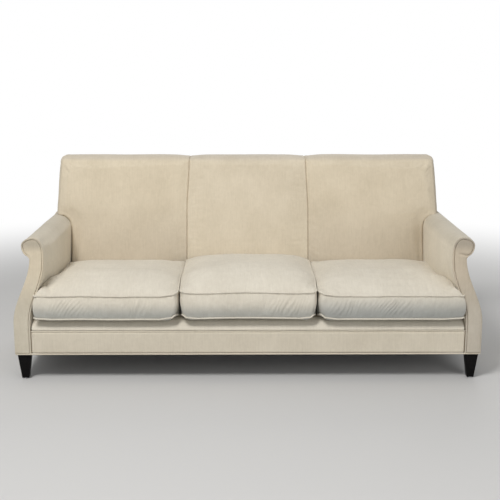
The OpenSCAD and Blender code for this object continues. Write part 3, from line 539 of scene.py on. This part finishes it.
# The facing turns cooler toward its foot, and darker over the scroll, partly as soiling and partly as painted
# shade of its rounding.
facing_shade_and_soil = [((0.90, 0.94, 1.0, 1), 0.52, 0.30), ((0.70, 0.71, 0.73, 1), 0.585, 0.630)]
facing_x = cloth_material("facing_cloth_nap_down", cloth_warm, nap_across_x, facing_shade_and_soil)
# The right facing is painted darker all over, as painted shade of the light that falls from the left.
shaded_facing_x = cloth_material("shaded_facing_cloth", cloth_warm, nap_across_x,
                               facing_shade_and_soil + [((0.85, 0.84, 0.86, 1), 0.80, 0.66)])


def soften(piece, voxel, passes):
    """Rounds the edges of a padded piece off, and leaves an even mesh."""
    add_modifier(piece, "REMESH", mode="VOXEL", voxel_size=voxel)
    add_modifier(piece, "SMOOTH", factor=0.5, iterations=passes)


def cord_along(name, points, radius, closed=False):
    """A sewn cord: a round tube along a traced line."""
    piece = trace(name, points, closed)
    open_up(piece)
    if closed:
        bpy.ops.mesh.delete(type="ONLY_FACE")
    bpy.ops.object.mode_set(mode="OBJECT")
    bpy.ops.object.convert(target="CURVE")
    piece = bpy.context.object
    piece.data.bevel_depth = radius
    piece.data.bevel_resolution = 2
    piece.data.use_fill_caps = not closed
    bpy.ops.object.convert(target="MESH")
    return bpy.context.object


def arm_outline(inset, outer_inset):
    """Whole outline (x, z) of a facing above its foot."""
    lower = [(facing_in(foot_z) + inset, foot_z)]
    return arm_side(outer_inset, foot_z) + arm_section(0.0, inset) + lower


def close_outward():
    """Leaves edit mode, with every face pointing out."""
    bpy.ops.mesh.select_all(action="SELECT")
    bpy.ops.mesh.normals_make_consistent(inside=False)
    bpy.ops.object.mode_set(mode="OBJECT")


def pulled_out(name, outline, way):
    """A solid made by pulling a traced face along."""
    piece = trace(name, outline, closed=True)
    open_up(piece)
    bpy.ops.mesh.extrude_region_move(TRANSFORM_OT_translate={"value": way})
    close_outward()
    return piece


outline = [(x, facing_y, z) for x, z in arm_outline(facing_inset, facing_outer_inset)]
facing = pulled_out("right_front_facing", outline, (0, facing_depth, 0))
soften(facing, 0.0032, 2)


def hump(t):
    """A soft hump: 1 at 0, and gone at about 2 to either side."""
    return math.exp(-t ** 2)


def facing_pillow(place, normal):
    """The pad is fullest in the middle of its width, and dips where the cover is drawn in under the
    scroll."""
    x, z = abs(place.x), place.z
    outer = arm_out(z) if z < neck_z else neck_x + (scroll_x - neck_x) * smooth((z - neck_z) / 0.03)
    inner = facing_in(min(z, notch_z))
    across = 2 * (x - inner) / (outer - inner) - 1
    full = max(0.0, 1 - across * across) * (1 - smooth((z - 0.600) / 0.05))
    crease = hump((z - crease_z + 0.25 * (x - neck_x)) / 0.005) * smooth((x - 0.915) / 0.035)
    front = max(0.0, -normal.y)
    grain = noise.noise(place * 20.0) * 0.0010
    return Vector((0, (-0.0045 * full + crease_depth * crease) * front, 0)) + normal * grain


welt_line = [(x, facing_y + welt_r, z) for x, z in arm_outline(welt_r, welt_r)]
welt = cord_along("right_facing_piping", welt_line, welt_r)
left_facing = mirrored(facing, "left_front_facing")
left_welt = mirrored(welt, "left_facing_piping")
for side, pad, edge, cloth in (("left", left_facing, left_welt, facing_x),
                               ("right", facing, welt, shaded_facing_x)):
    push(pad, facing_pillow)
    finish_piece(pad, cloth, f"{side}_facing")
    finish_piece(edge, cloth, f"{side}_facing_welt")


# The front border and its trim: a padded band over the front rail, a thin cord in the seam above it, and a
# welt round the bottom edge of the whole sofa, where the cloth turns under to the dust cover.
def block(name, low, high):
    """A box between two corners, with its place in its mesh."""
    low, high = Vector(low), Vector(high)
    bpy.ops.object.select_all(action="DESELECT")
    bpy.ops.mesh.primitive_cube_add(size=1, location=(low + high) / 2, scale=high - low)
    piece = bpy.context.object
    piece.name = piece.data.name = name
    bpy.ops.object.transform_apply()
    return piece


cloth_even = ((0.665, 0.600, 0.485, 1), (0.580, 0.518, 0.412, 1))
even_x = cloth_material("even_cloth_nap_down", cloth_even, nap_across_x)
border_low, border_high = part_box("front_border")
border = block("front_border_pad", border_low, border_high)
soften(border, 0.0042, 4)


def border_ripple(place, normal):
    """Short soft gathers under the seam, and slow waves along the band."""
    under_seam = math.exp((place.z - border_high.z) / 0.03)
    gathers = ripple(place, (60, 0, 8)) * 0.0011 * under_seam
    waves = ripple(place, (5, 0, 9), (0, 3, 0)) * 0.0016
    front = max(0.0, -normal.y)
    return Vector((0, -(gathers + waves) * front, 0))


push(border, border_ripple)
finish_piece(border, even_x, "front_border")

cord_low, cord_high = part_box("border_seam_cord")
cord_r = (cord_high.z - cord_low.z) / 2
cord_y, cord_z = (cord_low.y + cord_high.y) / 2, (cord_low.z + cord_high.z) / 2
steps = [mix(cord_low.x, cord_high.x, k / 90) for k in range(91)]
seam_line = [(x, cord_y, cord_z + noise.noise(Vector((x * 7, 0, 0))) * 0.0008) for x in steps]
finish_piece(cord_along("border_cord", seam_line, cord_r), even_x, "border_seam_cord")

base_low, base_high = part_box("base_welt")
base_r = (base_high.z - base_low.z) / 2
turn_r = 0.006
corners = ((base_high.x, base_low.y, -90), (base_high.x, base_high.y, 0),
           (base_low.x, base_high.y, 90), (base_low.x, base_low.y, 180))
base_line = []
for x, y, start in corners:
    middle = (x - math.copysign(base_r + turn_r, x), y - math.copysign(base_r + turn_r, y))
    bend = arc(middle, turn_r, turn_r, start, start + 90, 4)
    base_line += [(px, py, base_low.z + base_r) for px, py in bend]
finish_piece(cord_along("base_piping", base_line, base_r, closed=True), even_x, "base_welt")


# The front edge roll and the deck: a firm foam roll behind the border, and the flat pad over the springs,
# under one plain cloth. The cushions hide most of them and press the roll down between their corners.
cushion_seam_x = 0.309
cloth_pale = ((0.702, 0.648, 0.545, 1), (0.615, 0.562, 0.466, 1))
roll_x = cloth_material("roll_cloth_nap_down", cloth_pale, nap_across_x)
roll_low, roll_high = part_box("front_edge_roll")
nose_y, nose_z, nose_depth = -0.342, 0.2309, 0.062
heel_y = -0.3957
roll_back = [(roll_high.y, roll_high.z), (roll_high.y, roll_low.z), (heel_y, roll_low.z), (heel_y, nose_z)]
nose = [(nose_y - nose_depth * math.cos(a) ** 1.5, nose_z + (roll_high.z - nose_z) * math.sin(a))
        for a in [math.radians(89 * k / 10) for k in range(11)]]
outline = [(roll_low.x, y, z) for y, z in roll_back + nose]
roll = pulled_out("front_edge_pad", outline, (roll_high.x - roll_low.x, 0, 0))
soften(roll, 0.0042, 3)


def roll_swell(place, normal):
    """The roll stands out a little at the gaps between the cushions, and is pressed in under them."""
    beside = min(abs(place.x - cushion_seam_x), abs(place.x + cushion_seam_x))
    stand = hump(beside / 0.045)
    front = smooth((-0.372 - place.y) / 0.03)
    upper = smooth((place.z - 0.236) / 0.03)
    drag = ripple(place, (11, 6, 30)) * 0.0012
    return Vector((0, -0.004 * stand * upper * front - drag * upper, -0.002 * front * upper))


push(roll, roll_swell)
finish_piece(roll, roll_x, "front_edge_roll")


def copy_of(node, name):
    """A copy of a frame node's shape as one joined mesh, to be modelled further."""
    piece = bpy.data.objects.new(name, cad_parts[node].data.copy())
    piece.data.name = name
    bpy.context.scene.collection.objects.link(piece)
    open_up(piece)
    bpy.ops.mesh.remove_doubles(threshold=0.00002)
    bpy.ops.object.mode_set(mode="OBJECT")
    return piece


warm_x = cloth_material("warm_cloth_nap_down", cloth_warm, nap_across_x)
deck_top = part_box("deck_cover")[1].z
pad_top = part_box("deck_pad")[1].z
deck = copy_of("deck_pad", "seat_deck")
push(deck, lambda p, n: Vector((0, 0, deck_top - pad_top if p.z > pad_top - 0.001 else 0)))
soften(deck, 0.0075, 2)
push(deck, lambda p, n: Vector((0, 0, -0.0022 * abs(noise.noise(p * 6.0)) * smooth((p.z - 0.26) / 0.02))))
finish_piece(deck, warm_x, "deck_pad", "deck_cover")


# The back: three foam panels under one cover, sewn together at two seams that run over the top edge. Each
# is softly crowned, and rolls over the top and round the side edge above the arm.
panel_seam_x = 0.304
seam_round = 0.020
seam_dip, seam_lean = 0.006, 0.011
panel_pressure = 2.0
lean_foot_y, lean_foot_z, lean = 0.146, 0.430, 13
# Painted shade: the side panels of the back are painted darker toward the seat, and all three greyer along
# the top edge; the middle panel has no darkening toward the seat, and a slightly cooler copy of the warm
# cloth.
middle_back_tones = ((0.690, 0.604, 0.466, 1), (0.600, 0.519, 0.389, 1))
shaded_edge = ((0.92, 0.93, 0.97, 1), 0.915, 0.932)
back_x = cloth_material("back_cloth_nap_down", cloth_warm, nap_across_x,
                        [((0.865, 0.86, 0.875, 1), 0.80, 0.46), shaded_edge])
middle_back_x = cloth_material("middle_back_cloth", middle_back_tones, nap_across_x, [shaded_edge])


def blown_up(piece, held, most, pressure, growth, room):
    """Blows a closed cover up as its stuffing does. held(place) is 1 at a seam and 0 where the cloth is
    free, no point moves further than most, and room(place) keeps it off its neighbours."""
    scene = bpy.context.scene
    rest = [v.co.copy() for v in piece.data.vertices]
    group = piece.vertex_groups.new(name="seams")
    for index, place in enumerate(rest):
        group.add([index], held(place), "REPLACE")
    modifier = piece.modifiers.new("stuffing", "CLOTH")
    cloth = modifier.settings
    cloth.quality = 3
    cloth.mass = 0.2
    cloth.vertex_group_mass = "seams"
    cloth.use_pressure = True
    cloth.uniform_pressure_force = pressure
    cloth.shrink_min = -growth
    cloth.tension_stiffness = cloth.compression_stiffness = 12
    cloth.bending_stiffness = 0.3
    cloth.effector_weights.gravity = 0
    modifier.point_cache.frame_start = 1
    modifier.point_cache.frame_end = 20
    for number in range(1, 21):
        scene.frame_set(number)
    shaped = piece.evaluated_get(bpy.context.evaluated_depsgraph_get()).data
    moved = [v.co.copy() for v in shaped.vertices]
    piece.modifiers.remove(modifier)
    piece.vertex_groups.clear()
    for vertex, start, end in zip(piece.data.vertices, rest, moved):
        step = end - start
        if step.length > most:
            step *= most / step.length
        vertex.co = room(start + step)
    scene.frame_set(1)
    piece.data.update()


def back_front(z):
    """Depth of the front of the back at height z."""
    return lean_foot_y + (z - lean_foot_z) * math.tan(math.radians(lean))


def pick_faces(piece, test):
    """Selects, in edit mode, only the faces whose corners all pass the test."""
    bpy.ops.mesh.select_all(action="DESELECT")
    net = bmesh.from_edit_mesh(piece.data)
    for face in net.faces:
        if all(test(v.co) for v in face.verts):
            face.select_set(True)
    bmesh.update_edit_mesh(piece.data)


def squared_seam(panel, seam_x, way):
    """Cuts the rounded edge off a panel beside a seam, and pulls the cut out straight to the seam."""
    cut_x = seam_x - way * seam_round
    open_up(panel)
    bpy.ops.mesh.bisect(plane_co=(cut_x, 0, 0), plane_no=(way, 0, 0), clear_outer=True, use_fill=True)
    pick_faces(panel, lambda corner: abs(corner.x - cut_x) < 0.0001)
    bpy.ops.mesh.extrude_region_move(TRANSFORM_OT_translate={"value": (way * seam_round, 0, 0)})
    close_outward()


def seam_drift(place):
    """The two seams lean in toward the top, so the middle panel is a little narrower there."""
    near = hump((abs(place.x) - panel_seam_x) / 0.16)
    return Vector((-math.copysign(seam_lean, place.x) * smooth((place.z - 0.66) / 0.27) * near, 0, 0))


def panel_relief(place, normal):
    """A thin ridge of turned-in cloth beside each seam, a dip in the top edge there, and slow waves."""
    beside = abs(abs(place.x) - panel_seam_x)
    ridge = 0.0012 * hump((beside - 0.006) / 0.004) + 0.0008 * hump(beside / 0.003)
    dip = -seam_dip * hump(beside / 0.05) * smooth((place.z - 0.915) / 0.02)
    waves = noise.noise(place * 5.5) * 0.0018 + noise.noise(place * 16.0) * 0.0005
    corner = smooth((abs(place.x) - 0.905) / 0.035) * smooth((place.z - 0.900) / 0.030)
    square = Vector((math.copysign(0.001, place.x), 0, 0.003)) * corner
    return normal * (ridge + waves * smooth(beside / 0.03)) + Vector((0, 0, dip)) + square + seam_drift(place)


def fill_corner(place):
    """Presses the panel's lower side edge against the arm and over it, so that no gap shows between them."""
    x = abs(place.x)
    from_arm = Vector((min(0.0, x - shoulder_x), max(0.0, place.z - round_z)))
    reach = from_arm.length - (shoulder_x - full_in_x)
    front = 1 - smooth((place.y - back_front(place.z) - 0.030) / 0.03)
    grow = (1 - smooth((reach - 0.004) / 0.020)) * front
    toward = -from_arm.normalized() * 0.006 * grow
    return Vector((math.copysign(toward.x, place.x), -0.008 * grow, toward.y))


for side, seams in (("left", ((-panel_seam_x - 0.0004, 1),)),
                    ("middle", ((-panel_seam_x + 0.0004, -1), (panel_seam_x - 0.0004, 1))),
                    ("right", ((panel_seam_x + 0.0004, -1),))):
    panel = copy_of(f"{side}_back_foam", f"{side}_back_panel")
    low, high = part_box(f"{side}_back_foam")
    for seam_x, way in seams:
        squared_seam(panel, seam_x, way)
    soften(panel, 0.0068, 1)
    low_x = max([x for x, way in seams if way < 0], default=-2.0)
    high_x = min([x for x, way in seams if way > 0], default=2.0)

    def panel_room(place):
        place.x = min(max(place.x, low_x), high_x)
        return place

    def panel_held(place):
        beside = abs(abs(place.x) - panel_seam_x)
        lower = place.z < low.z + 0.02
        rear = place.y > back_front(place.z) + 0.05
        return 1.0 if lower or rear or beside < 0.010 else 0.0

    blown_up(panel, panel_held, 0.006, panel_pressure, 0.003, panel_room)
    subdivide_smoothly(panel)
    push(panel, panel_relief)
    if side != "middle":
        push(panel, lambda place, normal: fill_corner(place) if abs(place.x) > 0.84 else Vector())
    cloth = middle_back_x if side == "middle" else back_x
    finish_piece(panel, cloth, f"{side}_back_foam", f"{side}_back_cover")


# The sides and the outside of the back: plain cloth. The sides close the back above the arms, and the
# outside back is one panel from the top edge to the base, sewn blind along the back and the arms.
def back_half(z):
    """Half width of the back at height z above the arms."""
    return 0.967 - 0.020 * (z - 0.655) / 0.286


def side_x(z, inset=0.0):
    """The side of the back at height z, drawn in toward the top edge."""
    return back_half(z) - inset - 4 * max(0, z - side_turn_z) ** 1.5


side_foot_z, side_turn_z = 0.652, 0.896
side_front = 0.0723
warm_y = cloth_material("warm_cloth_nap_along", cloth_warm, nap_across_y)
heights = [mix(side_foot_z, side_turn_z, k / 8) for k in range(9)] + [0.903, 0.911]
turned_in = ((-0.012, 0.0045), (-0.005, 0.0012), (0.002, 0.0), (0.020, 0.0), (0.040, 0.0))
for side, way in (("right", 1), ("left", -1)):
    rows = [[Vector((way * side_x(z, inset), back_front(z) + side_front + step, z)) for z in heights]
            for step, inset in turned_in]
    rows.append([Vector((way * side_x(z), back_rear(z) - rear_tuck, z)) for z in heights])
    panel = bridge(f"{side}_back_side", rows)
    face_away(panel, lambda p: Vector((0, p.y, p.z)))
    add_modifier(panel, "SOLIDIFY", thickness=card_cloth, offset=-1)
    finish_piece(panel, warm_y, "back_side_panels", sharp_from=50)


def rear_half(z):
    """Half width of the outside back at height z: the arm, its scroll, and the back above them."""
    if z <= neck_z:
        return arm_out(z)
    if z <= scroll_z:
        return neck_x + (scroll_x - neck_x) * math.sqrt(max(0, 1 - ((scroll_z - z) / scroll_curl) ** 2))
    if z <= arm_top:
        round_share = math.sqrt(max(0, 1 - ((z - scroll_z) / (arm_top - scroll_z)) ** 2))
        return max(back_half(arm_top), shoulder_x + (scroll_x - shoulder_x) * round_share)
    return back_half(z) - max(0, z - 0.905) ** 2 / 0.060


heights = [mix(hem_z, neck_z, k / 16) for k in range(17)]
heights += [notch_z + step for step in (0.002, 0.006, 0.014, 0.028)]
heights += [mix(scroll_z, arm_top, k / 6) for k in range(1, 7)]
heights += [mix(0.66, 0.9266, k / 12) for k in range(13)]
rows = [[Vector((way * rear_half(z), back_rear(z), z)) for z in heights] for way in (-1, 1)]
outside = bridge("outside_back", rows, cuts=40)
face_away(outside, lambda p: Vector((p.x, 0, p.z)))
add_modifier(outside, "SOLIDIFY", thickness=0.0028, offset=-1)


def outside_billow(place, normal):
    """The panel is a little slack between its sewn edges, with faint pulls from the corners."""
    u = 1 - (place.x / rear_half(min(max(place.z, 0.13), 0.92))) ** 2
    v = math.sin(math.pi * min(max((place.z - 0.126) / 0.80, 0), 1))
    slack = ripple(place, (2.2, 0, 2.8), (0, 5, 0)) * 0.0035
    return Vector((0, max(0, u) * v * (0.003 + slack), 0))


push(outside, outside_billow)
finish_piece(outside, warm_x, "outside_back_cover", sharp_from=50)


# The seat cushions: a cover of top, bottom and boxing over a wrapped foam core, with a welt round the top
# and the bottom seam. The side ones follow the arms, and the middle one stands higher and fuller.
front_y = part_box("middle_cushion_cover")[0].y
rear_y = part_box("middle_cushion_cover")[1].y
deck_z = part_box("middle_cushion_cover")[0].z
seam_front_y = front_y - 0.020
corner_r = 0.024
outer_corner_r = 0.014
bottom_seam_z = deck_z + 0.0076
side_gap = 0.002
seam_clear = 0.0025
beside_facing_x = 0.949
front_room = 0.037
cushion_pressure = 4.0
lean_in, seam_waver, front_bulge = 0.036, 0.0035, 0.006
inner_curl, outer_curl, corner_draw = 0.018, 0.007, 0.013
arm_squeeze, corner_squeeze = 0.015, 0.012
zip_top_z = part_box("middle_zip")[1].z + 0.003
# Painted shade: the lower boxing is painted cooler and darker below its bulge, the right cushion's more so as
# shade of the light from the left, and the piping only a little, so that it stays lighter than the boxing.
boxing_shade_low = ((0.64, 0.69, 0.75, 1), 0.376, 0.300)
right_boxing_shade_low = ((0.54, 0.59, 0.66, 1), 0.415, 0.305)
piping_low = ((0.92, 0.93, 0.94, 1), 0.372, 0.300)
pale_x = cloth_material("pale_cloth_nap_down", cloth_pale, nap_across_x, [boxing_shade_low])
shaded_right_cushion_x = cloth_material("shaded_cloth_nap_down", cloth_pale, nap_across_x, [right_boxing_shade_low])
piping_x = cloth_material("piping_cloth", cloth_pale, nap_across_x, [piping_low])


def cushion_outer(side, y):
    """Outer side of a cushion at depth y; those at the sides follow the arm."""
    if side == "middle":
        return cushion_seam_x - side_gap
    return arm_in(deck_z + 0.112, arm_fill(y)) - side_gap


def cushion_plan(side, inset):
    """Outline (x, y) of a cushion seen from above, as it lies on the right."""
    x0 = inset + (-cushion_outer(side, 0) if side == "middle" else cushion_seam_x + side_gap)
    y0, y1, r = seam_front_y + inset, rear_y - inset, corner_r - inset
    outer_r = r if side == "middle" else outer_corner_r - inset
    front_x, rear_x = cushion_outer(side, front_y) - inset, cushion_outer(side, rear_y) - inset
    plan = arc((x0 + r, y0 + r), r, r, 180, 270, 6)
    plan += [(mix(x0 + r, front_x - outer_r, k / 10), y0) for k in range(1, 10)]
    plan += arc((front_x - outer_r, y0 + outer_r), outer_r, outer_r, 270, 360, 8)
    for k in range(1, 12):
        y = mix(y0 + outer_r, y1 - r, k / 12)
        plan.append((cushion_outer(side, y) - inset, y))
    plan += arc((rear_x - r, y1 - r), r, r, 0, 90, 6)
    plan += [(mix(rear_x - r, x0 + r, k / 10), y1) for k in range(1, 10)]
    plan += arc((x0 + r, y1 - r), r, r, 90, 180, 6)
    plan += [(x0, mix(y1 - r, y0 + r, k / 10)) for k in range(1, 10)]
    return plan


def cushion_settle(side, boxing, rise, spill):
    """How a cushion has settled on the deck, as a move for any point of it. Its top seam climbs behind the
    front, its rear leans on the back, its seams waver, and its front bulges between corners that curl up
    and are drawn in at the bottom. The middle one's front arches up. One at the side is squeezed up beside
    the arm, and its outer corner spills round the facing."""
    low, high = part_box(f"{side}_cushion_cover")
    middle_x, half_x = (low.x + high.x) / 2, (high.x - low.x) / 2
    arch, top_curl = (0.008, 0.010) if side == "middle" else (0.001, 0.016)

    def settle(place):
        u = min(1.0, abs(place.x - middle_x) / half_x)
        share = min(max((place.z - deck_z) / boxing, 0.0), 1.0)
        behind = smooth((place.y - front_y) / 0.15)
        lean = lean_in * smooth((place.z - zip_top_z) / 0.06) * smooth((place.y - rear_y + 0.12) / 0.12)
        wave = ripple(place, (6, 5, 3)) * seam_waver
        lift = arch * (1 - u * u) * (1 - smooth((place.y - front_y) / 0.20))
        ear = 1 - smooth((place.y - facing_y + 0.0015) / 0.0075)
        bulge = front_bulge * math.sin(math.pi * share) * (1 - smooth((place.y - front_y) / 0.05))
        corner = smooth((u - 0.86) / 0.14) * (1 - smooth((place.y - front_y - 0.01) / 0.05))
        outer = 0 if side == "middle" else smooth((abs(place.x) - 0.90) / 0.036)
        spilled_curl = outer_curl * (1 - share) * smooth((u - 0.92) / 0.08)
        curl = corner * mix(mix(inner_curl, top_curl, share), spilled_curl, outer)
        outward = outer * ear * spill * (0.6 + 0.4 * math.sin(math.pi * share))
        inward = corner * (1 - outer) * corner_draw * (1 - share) ** 3
        from_arm = arm_in(deck_z + boxing, arm_fill(place.y)) - abs(place.x)
        squeeze = arm_squeeze * (1 - smooth(from_arm / 0.09)) * (1 - smooth((place.y + 0.15) / 0.20))
        squeeze += corner_squeeze * (1 - smooth(from_arm / 0.06)) * (1 - smooth((place.y + 0.40) / 0.07))
        squeeze *= smooth((place.z - deck_z - boxing + 0.004) / 0.012)
        squeeze *= smooth((place.y - seam_front_y) / 0.016)
        squeeze *= 1 - smooth((abs(place.x) + outward - 0.930) / (0.012 + spill))
        sideways = math.copysign(outward, place.x) - math.copysign(inward, place.x - middle_x)
        return Vector((sideways, wave * 0.4 + lean - bulge,
                       wave * mix(0.3, 1, share) + lift + curl + squeeze + rise * share * behind))

    return settle


def cushion_body(side, boxing, crown):
    """The cover before it is stuffed: its plan pulled up to the top seam, and on in steps to its crown."""
    sign = -1 if side == "left" else 1
    plan = [Vector((sign * x, y, bottom_seam_z)) for x, y in cushion_plan(side, 0.003)]
    piece = trace(f"{side}_seat_cushion", plan, closed=True)
    centre = sum(plan, Vector()) / len(plan)
    top_z = deck_z + boxing
    steps = [(s, top_z + crown * (1 - s ** 3) ** 0.7) for s in (1.0, 0.98, 0.94, 0.87, 0.76, 0.6, 0.38)]
    open_up(piece)
    share, height = 1.0, bottom_seam_z
    for new_share, new_height in steps:
        bpy.ops.mesh.extrude_region_move(TRANSFORM_OT_translate={"value": (0, 0, new_height - height)})
        bpy.ops.transform.resize(value=(new_share / share, new_share / share, 1), center_override=centre)
        share, height = new_share, new_height
    pick_faces(piece, lambda corner: abs(corner.z - bottom_seam_z) < 0.001)
    sink = deck_z + 0.0005 - bottom_seam_z
    bpy.ops.mesh.extrude_region_move(TRANSFORM_OT_translate={"value": (0, 0, sink)})
    bpy.ops.transform.resize(value=(0.975, 0.975, 1), center_override=centre)
    close_outward()
    return piece


fold_spacing, fold_depth = 0.019, 0.0015
fold_places = {"left": ((-0.80, 0.09, -0.6), (-0.50, 0.06, -0.3)), "middle": ((0.18, 0.09, -0.35),),
               "right": ((0.44, 0.08, -0.5), (0.64, 0.09, -0.7))}
cushion_sizes = {"left": (0.114, 0.034, 0.030, 0.021), "middle": (0.124, 0.034, 0.054, 0),
                 "right": (0.114, 0.034, 0.030, 0.033)}
for side, (boxing, rise, crown, spill) in cushion_sizes.items():
    top_seam_z = deck_z + boxing
    settle = cushion_settle(side, boxing, rise, spill)
    cushion = cushion_body(side, boxing, crown)
    soften(cushion, 0.0072, 1)

    def settle_on_deck(place, normal):
        step = settle(place)
        step.z = max(step.z, deck_z + 0.0003 - place.z)
        return step

    push(cushion, settle_on_deck)

    def cushion_held(place):
        near = min(abs(place.z - settle(place).z - seam) for seam in (top_seam_z, bottom_seam_z))
        return 1.0 if near < 0.0045 else 0.0

    def cushion_room(place):
        x = abs(place.x)
        if side == "middle":
            x = min(x, cushion_seam_x - seam_clear)
        else:
            beside_arm = arm_in(place.z, arm_fill(place.y)) - 0.001
            behind_facing = smooth((place.y - facing_y + 0.0015) / 0.0075)
            beside_arm = mix(beside_facing_x + spill, beside_arm, behind_facing)
            x = min(max(x, cushion_seam_x + seam_clear), beside_arm)
        place.x = math.copysign(x, place.x)
        rear_room = mix(rear_y, back_front(place.z) - 0.001, smooth((place.z - zip_top_z) / 0.03))
        place.y = min(max(place.y, front_y - front_room), rear_room)
        place.z = max(place.z, deck_z + 0.0003)
        return place

    blown_up(cushion, cushion_held, 0.014, cushion_pressure, 0.012, cushion_room)
    subdivide_smoothly(cushion)

    def boxing_folds(place, normal):
        """Short folds that fan up from the bottom seam where the boxing is slack, and faint creases across
        the top."""
        share = (place.z - bottom_seam_z) / boxing
        if normal.z > 0.7 and share > 1:
            return normal * ripple(place, (4, 44, 0), (0, 0, 2)) * 0.0016
        if place.y > front_y + 0.02 or not 0 < share < 1:
            return Vector()
        depth = 0.0
        for middle, width, slant in fold_places[side]:
            mask = hump((place.x - middle) / width)
            wander = ripple(place, (17, 0, 11), (0, 7, 0)) * 5.5
            fold = math.sin((place.x + slant * (place.z - deck_z)) * 2 * math.pi / fold_spacing + wander)
            depth += mask * fold
        return normal * depth * fold_depth * math.sin(math.pi * share) ** 1.2

    push(cushion, boxing_folds)
    body = f"{side}_cushion"
    cloth = shaded_right_cushion_x if side == "right" else pale_x
    finish_piece(cushion, cloth, f"{side}_cushion_core", f"{side}_cushion_cover", body=body)
    sign = -1 if side == "left" else 1
    welts = []
    for name, height in (("top", top_seam_z), ("bottom", bottom_seam_z)):
        line = [Vector((sign * x, y, height)) for x, y in cushion_plan(side, 0.0015)]
        line = [p + settle(p) for p in line]
        for point in line:
            x, clear = abs(point.x), welt_r + 0.0015
            x = min(x, cushion_seam_x - clear) if side == "middle" else max(x, cushion_seam_x + clear)
            point.x = math.copysign(x, point.x)
        welts.append(cord_along(f"{side}_cushion_{name}_piping", line, welt_r, closed=True))
    select_only(*welts)
    bpy.ops.object.join()
    piping = bpy.context.object
    piping.name = piping.data.name = f"{side}_cushion_piping"
    finish_piece(piping, piping_x, f"{side}_cushion_welts", body=body)


# The dust cover: thin black lining cloth, cut to the frame and stapled along its lower edges. It closes the
# sofa underneath and hangs a little between its staples.
lining, tree, place = new_material("black_lining")
fibres = cloudy(tree, place, 700, 3)
surface(tree, fibres, (0.012, 0.012, 0.013), (0.045, 0.045, 0.047), fibres, (0.8, 1.0), (fibres, 0.4, 0.0003))
low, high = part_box("dust_cover")
dust = block("dust_cover_cloth", low, high)
open_up(dust)
bpy.ops.mesh.subdivide(number_cuts=30)
bpy.ops.object.mode_set(mode="OBJECT")


def dust_sag(place, normal):
    """The lining hangs a little between its stapled edges."""
    u = (place.x - low.x) / (high.x - low.x)
    v = (place.y - low.y) / (high.y - low.y)
    slack = 0.5 + ripple(place, (3, 3, 0))
    return Vector((0, 0, -0.004 * slack * (16 * u * (1 - u) * v * (1 - v)) ** 0.5))


push(dust, dust_sag)
finish_piece(dust, lining, "dust_cover", slot="lining")


# The legs: square hardwood, tapered on all four sides and lacquered black, each bolted up into its stump
# and shod with a pressed steel glide.
black, tree, place = new_material("black_lacquer")
grain = put(tree, "Mapping", {"Vector": place, "Scale": (120, 120, 8)}).outputs[0]
pores = cloudy(tree, grain, 1.0, 4)
scuffs = cloudy(tree, place, 60, 5, 0.8)
surface(tree, scuffs, (0.003, 0.003, 0.003), (0.010, 0.009, 0.009), scuffs, (0.22, 0.45),
        (pores, 0.2, 0.0003), **{"Specular IOR Level": 0.06})
leg_head, leg_foot = 0.058, 0.031
for end in ("front_left", "front_right", "rear_left", "rear_right"):
    low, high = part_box(f"{end}_leg")
    leg = block(f"{end}_tapered_leg", low, high)
    centre = (low + high) / 2

    def tapered(place, normal):
        draw_in = 1 - leg_foot / leg_head if place.z < centre.z else 0
        return Vector(((centre.x - place.x) * draw_in, (centre.y - place.y) * draw_in, 0))

    push(leg, tapered)
    add_modifier(leg, "BEVEL", width=0.0016, segments=3)
    finish_piece(leg, black, f"{end}_leg", slot="black_wood", sharp_from=35)


# The zips: woven tapes with a row of nylon teeth in the rear side of each cushion cover, and a zinc slider
# with its pull hanging down.
tape, tree, place = new_material("zip_tape")
threads = put(tree, "TexWave", {"Vector": place, "Scale": 260, "Distortion": 0.6},
              bands_direction="X").outputs[1]
surface(tree, threads, (0.44, 0.41, 0.32), (0.62, 0.59, 0.49), threads, (0.5, 0.8), (threads, 0.5, 0.0004))
nylon, tree, place = new_material("nylon_teeth")
cloud = cloudy(tree, place, 400, 2)
surface(tree, cloud, (0.55, 0.52, 0.44), (0.68, 0.65, 0.57), cloud, (0.28, 0.42))

tooth_pitch, tooth_gap = 0.0032, 0.0010
teeth_h, teeth_d, tape_thickness = 0.005, 0.002, 0.0006
for side in ("left", "middle", "right"):
    low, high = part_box(f"{side}_zip")
    middle_z = (low.z + high.z) / 2
    band = block(f"{side}_zip_tapes", low, (high.x, low.y + tape_thickness, high.z))
    row = block(f"{side}_zip_teeth", (low.x, low.y + tape_thickness, middle_z - teeth_h / 2),
                (low.x + tooth_pitch - tooth_gap, low.y + tape_thickness + teeth_d, middle_z + teeth_h / 2))
    add_modifier(row, "BEVEL", width=0.0004, segments=2)
    add_modifier(row, "ARRAY", count=int((high.x - low.x) / tooth_pitch), use_relative_offset=False,
                 use_constant_offset=True, constant_offset_displace=(tooth_pitch, 0, 0))
    finish_piece(band, tape, f"{side}_zip", slot="zip_tape", body=f"{side}_cushion", sharp_from=35)
    finish_piece(row, nylon, f"{side}_zip", slot="zip_tape", body=f"{side}_cushion")
    paint_nodes(zinc, f"{side}_zip_slider")
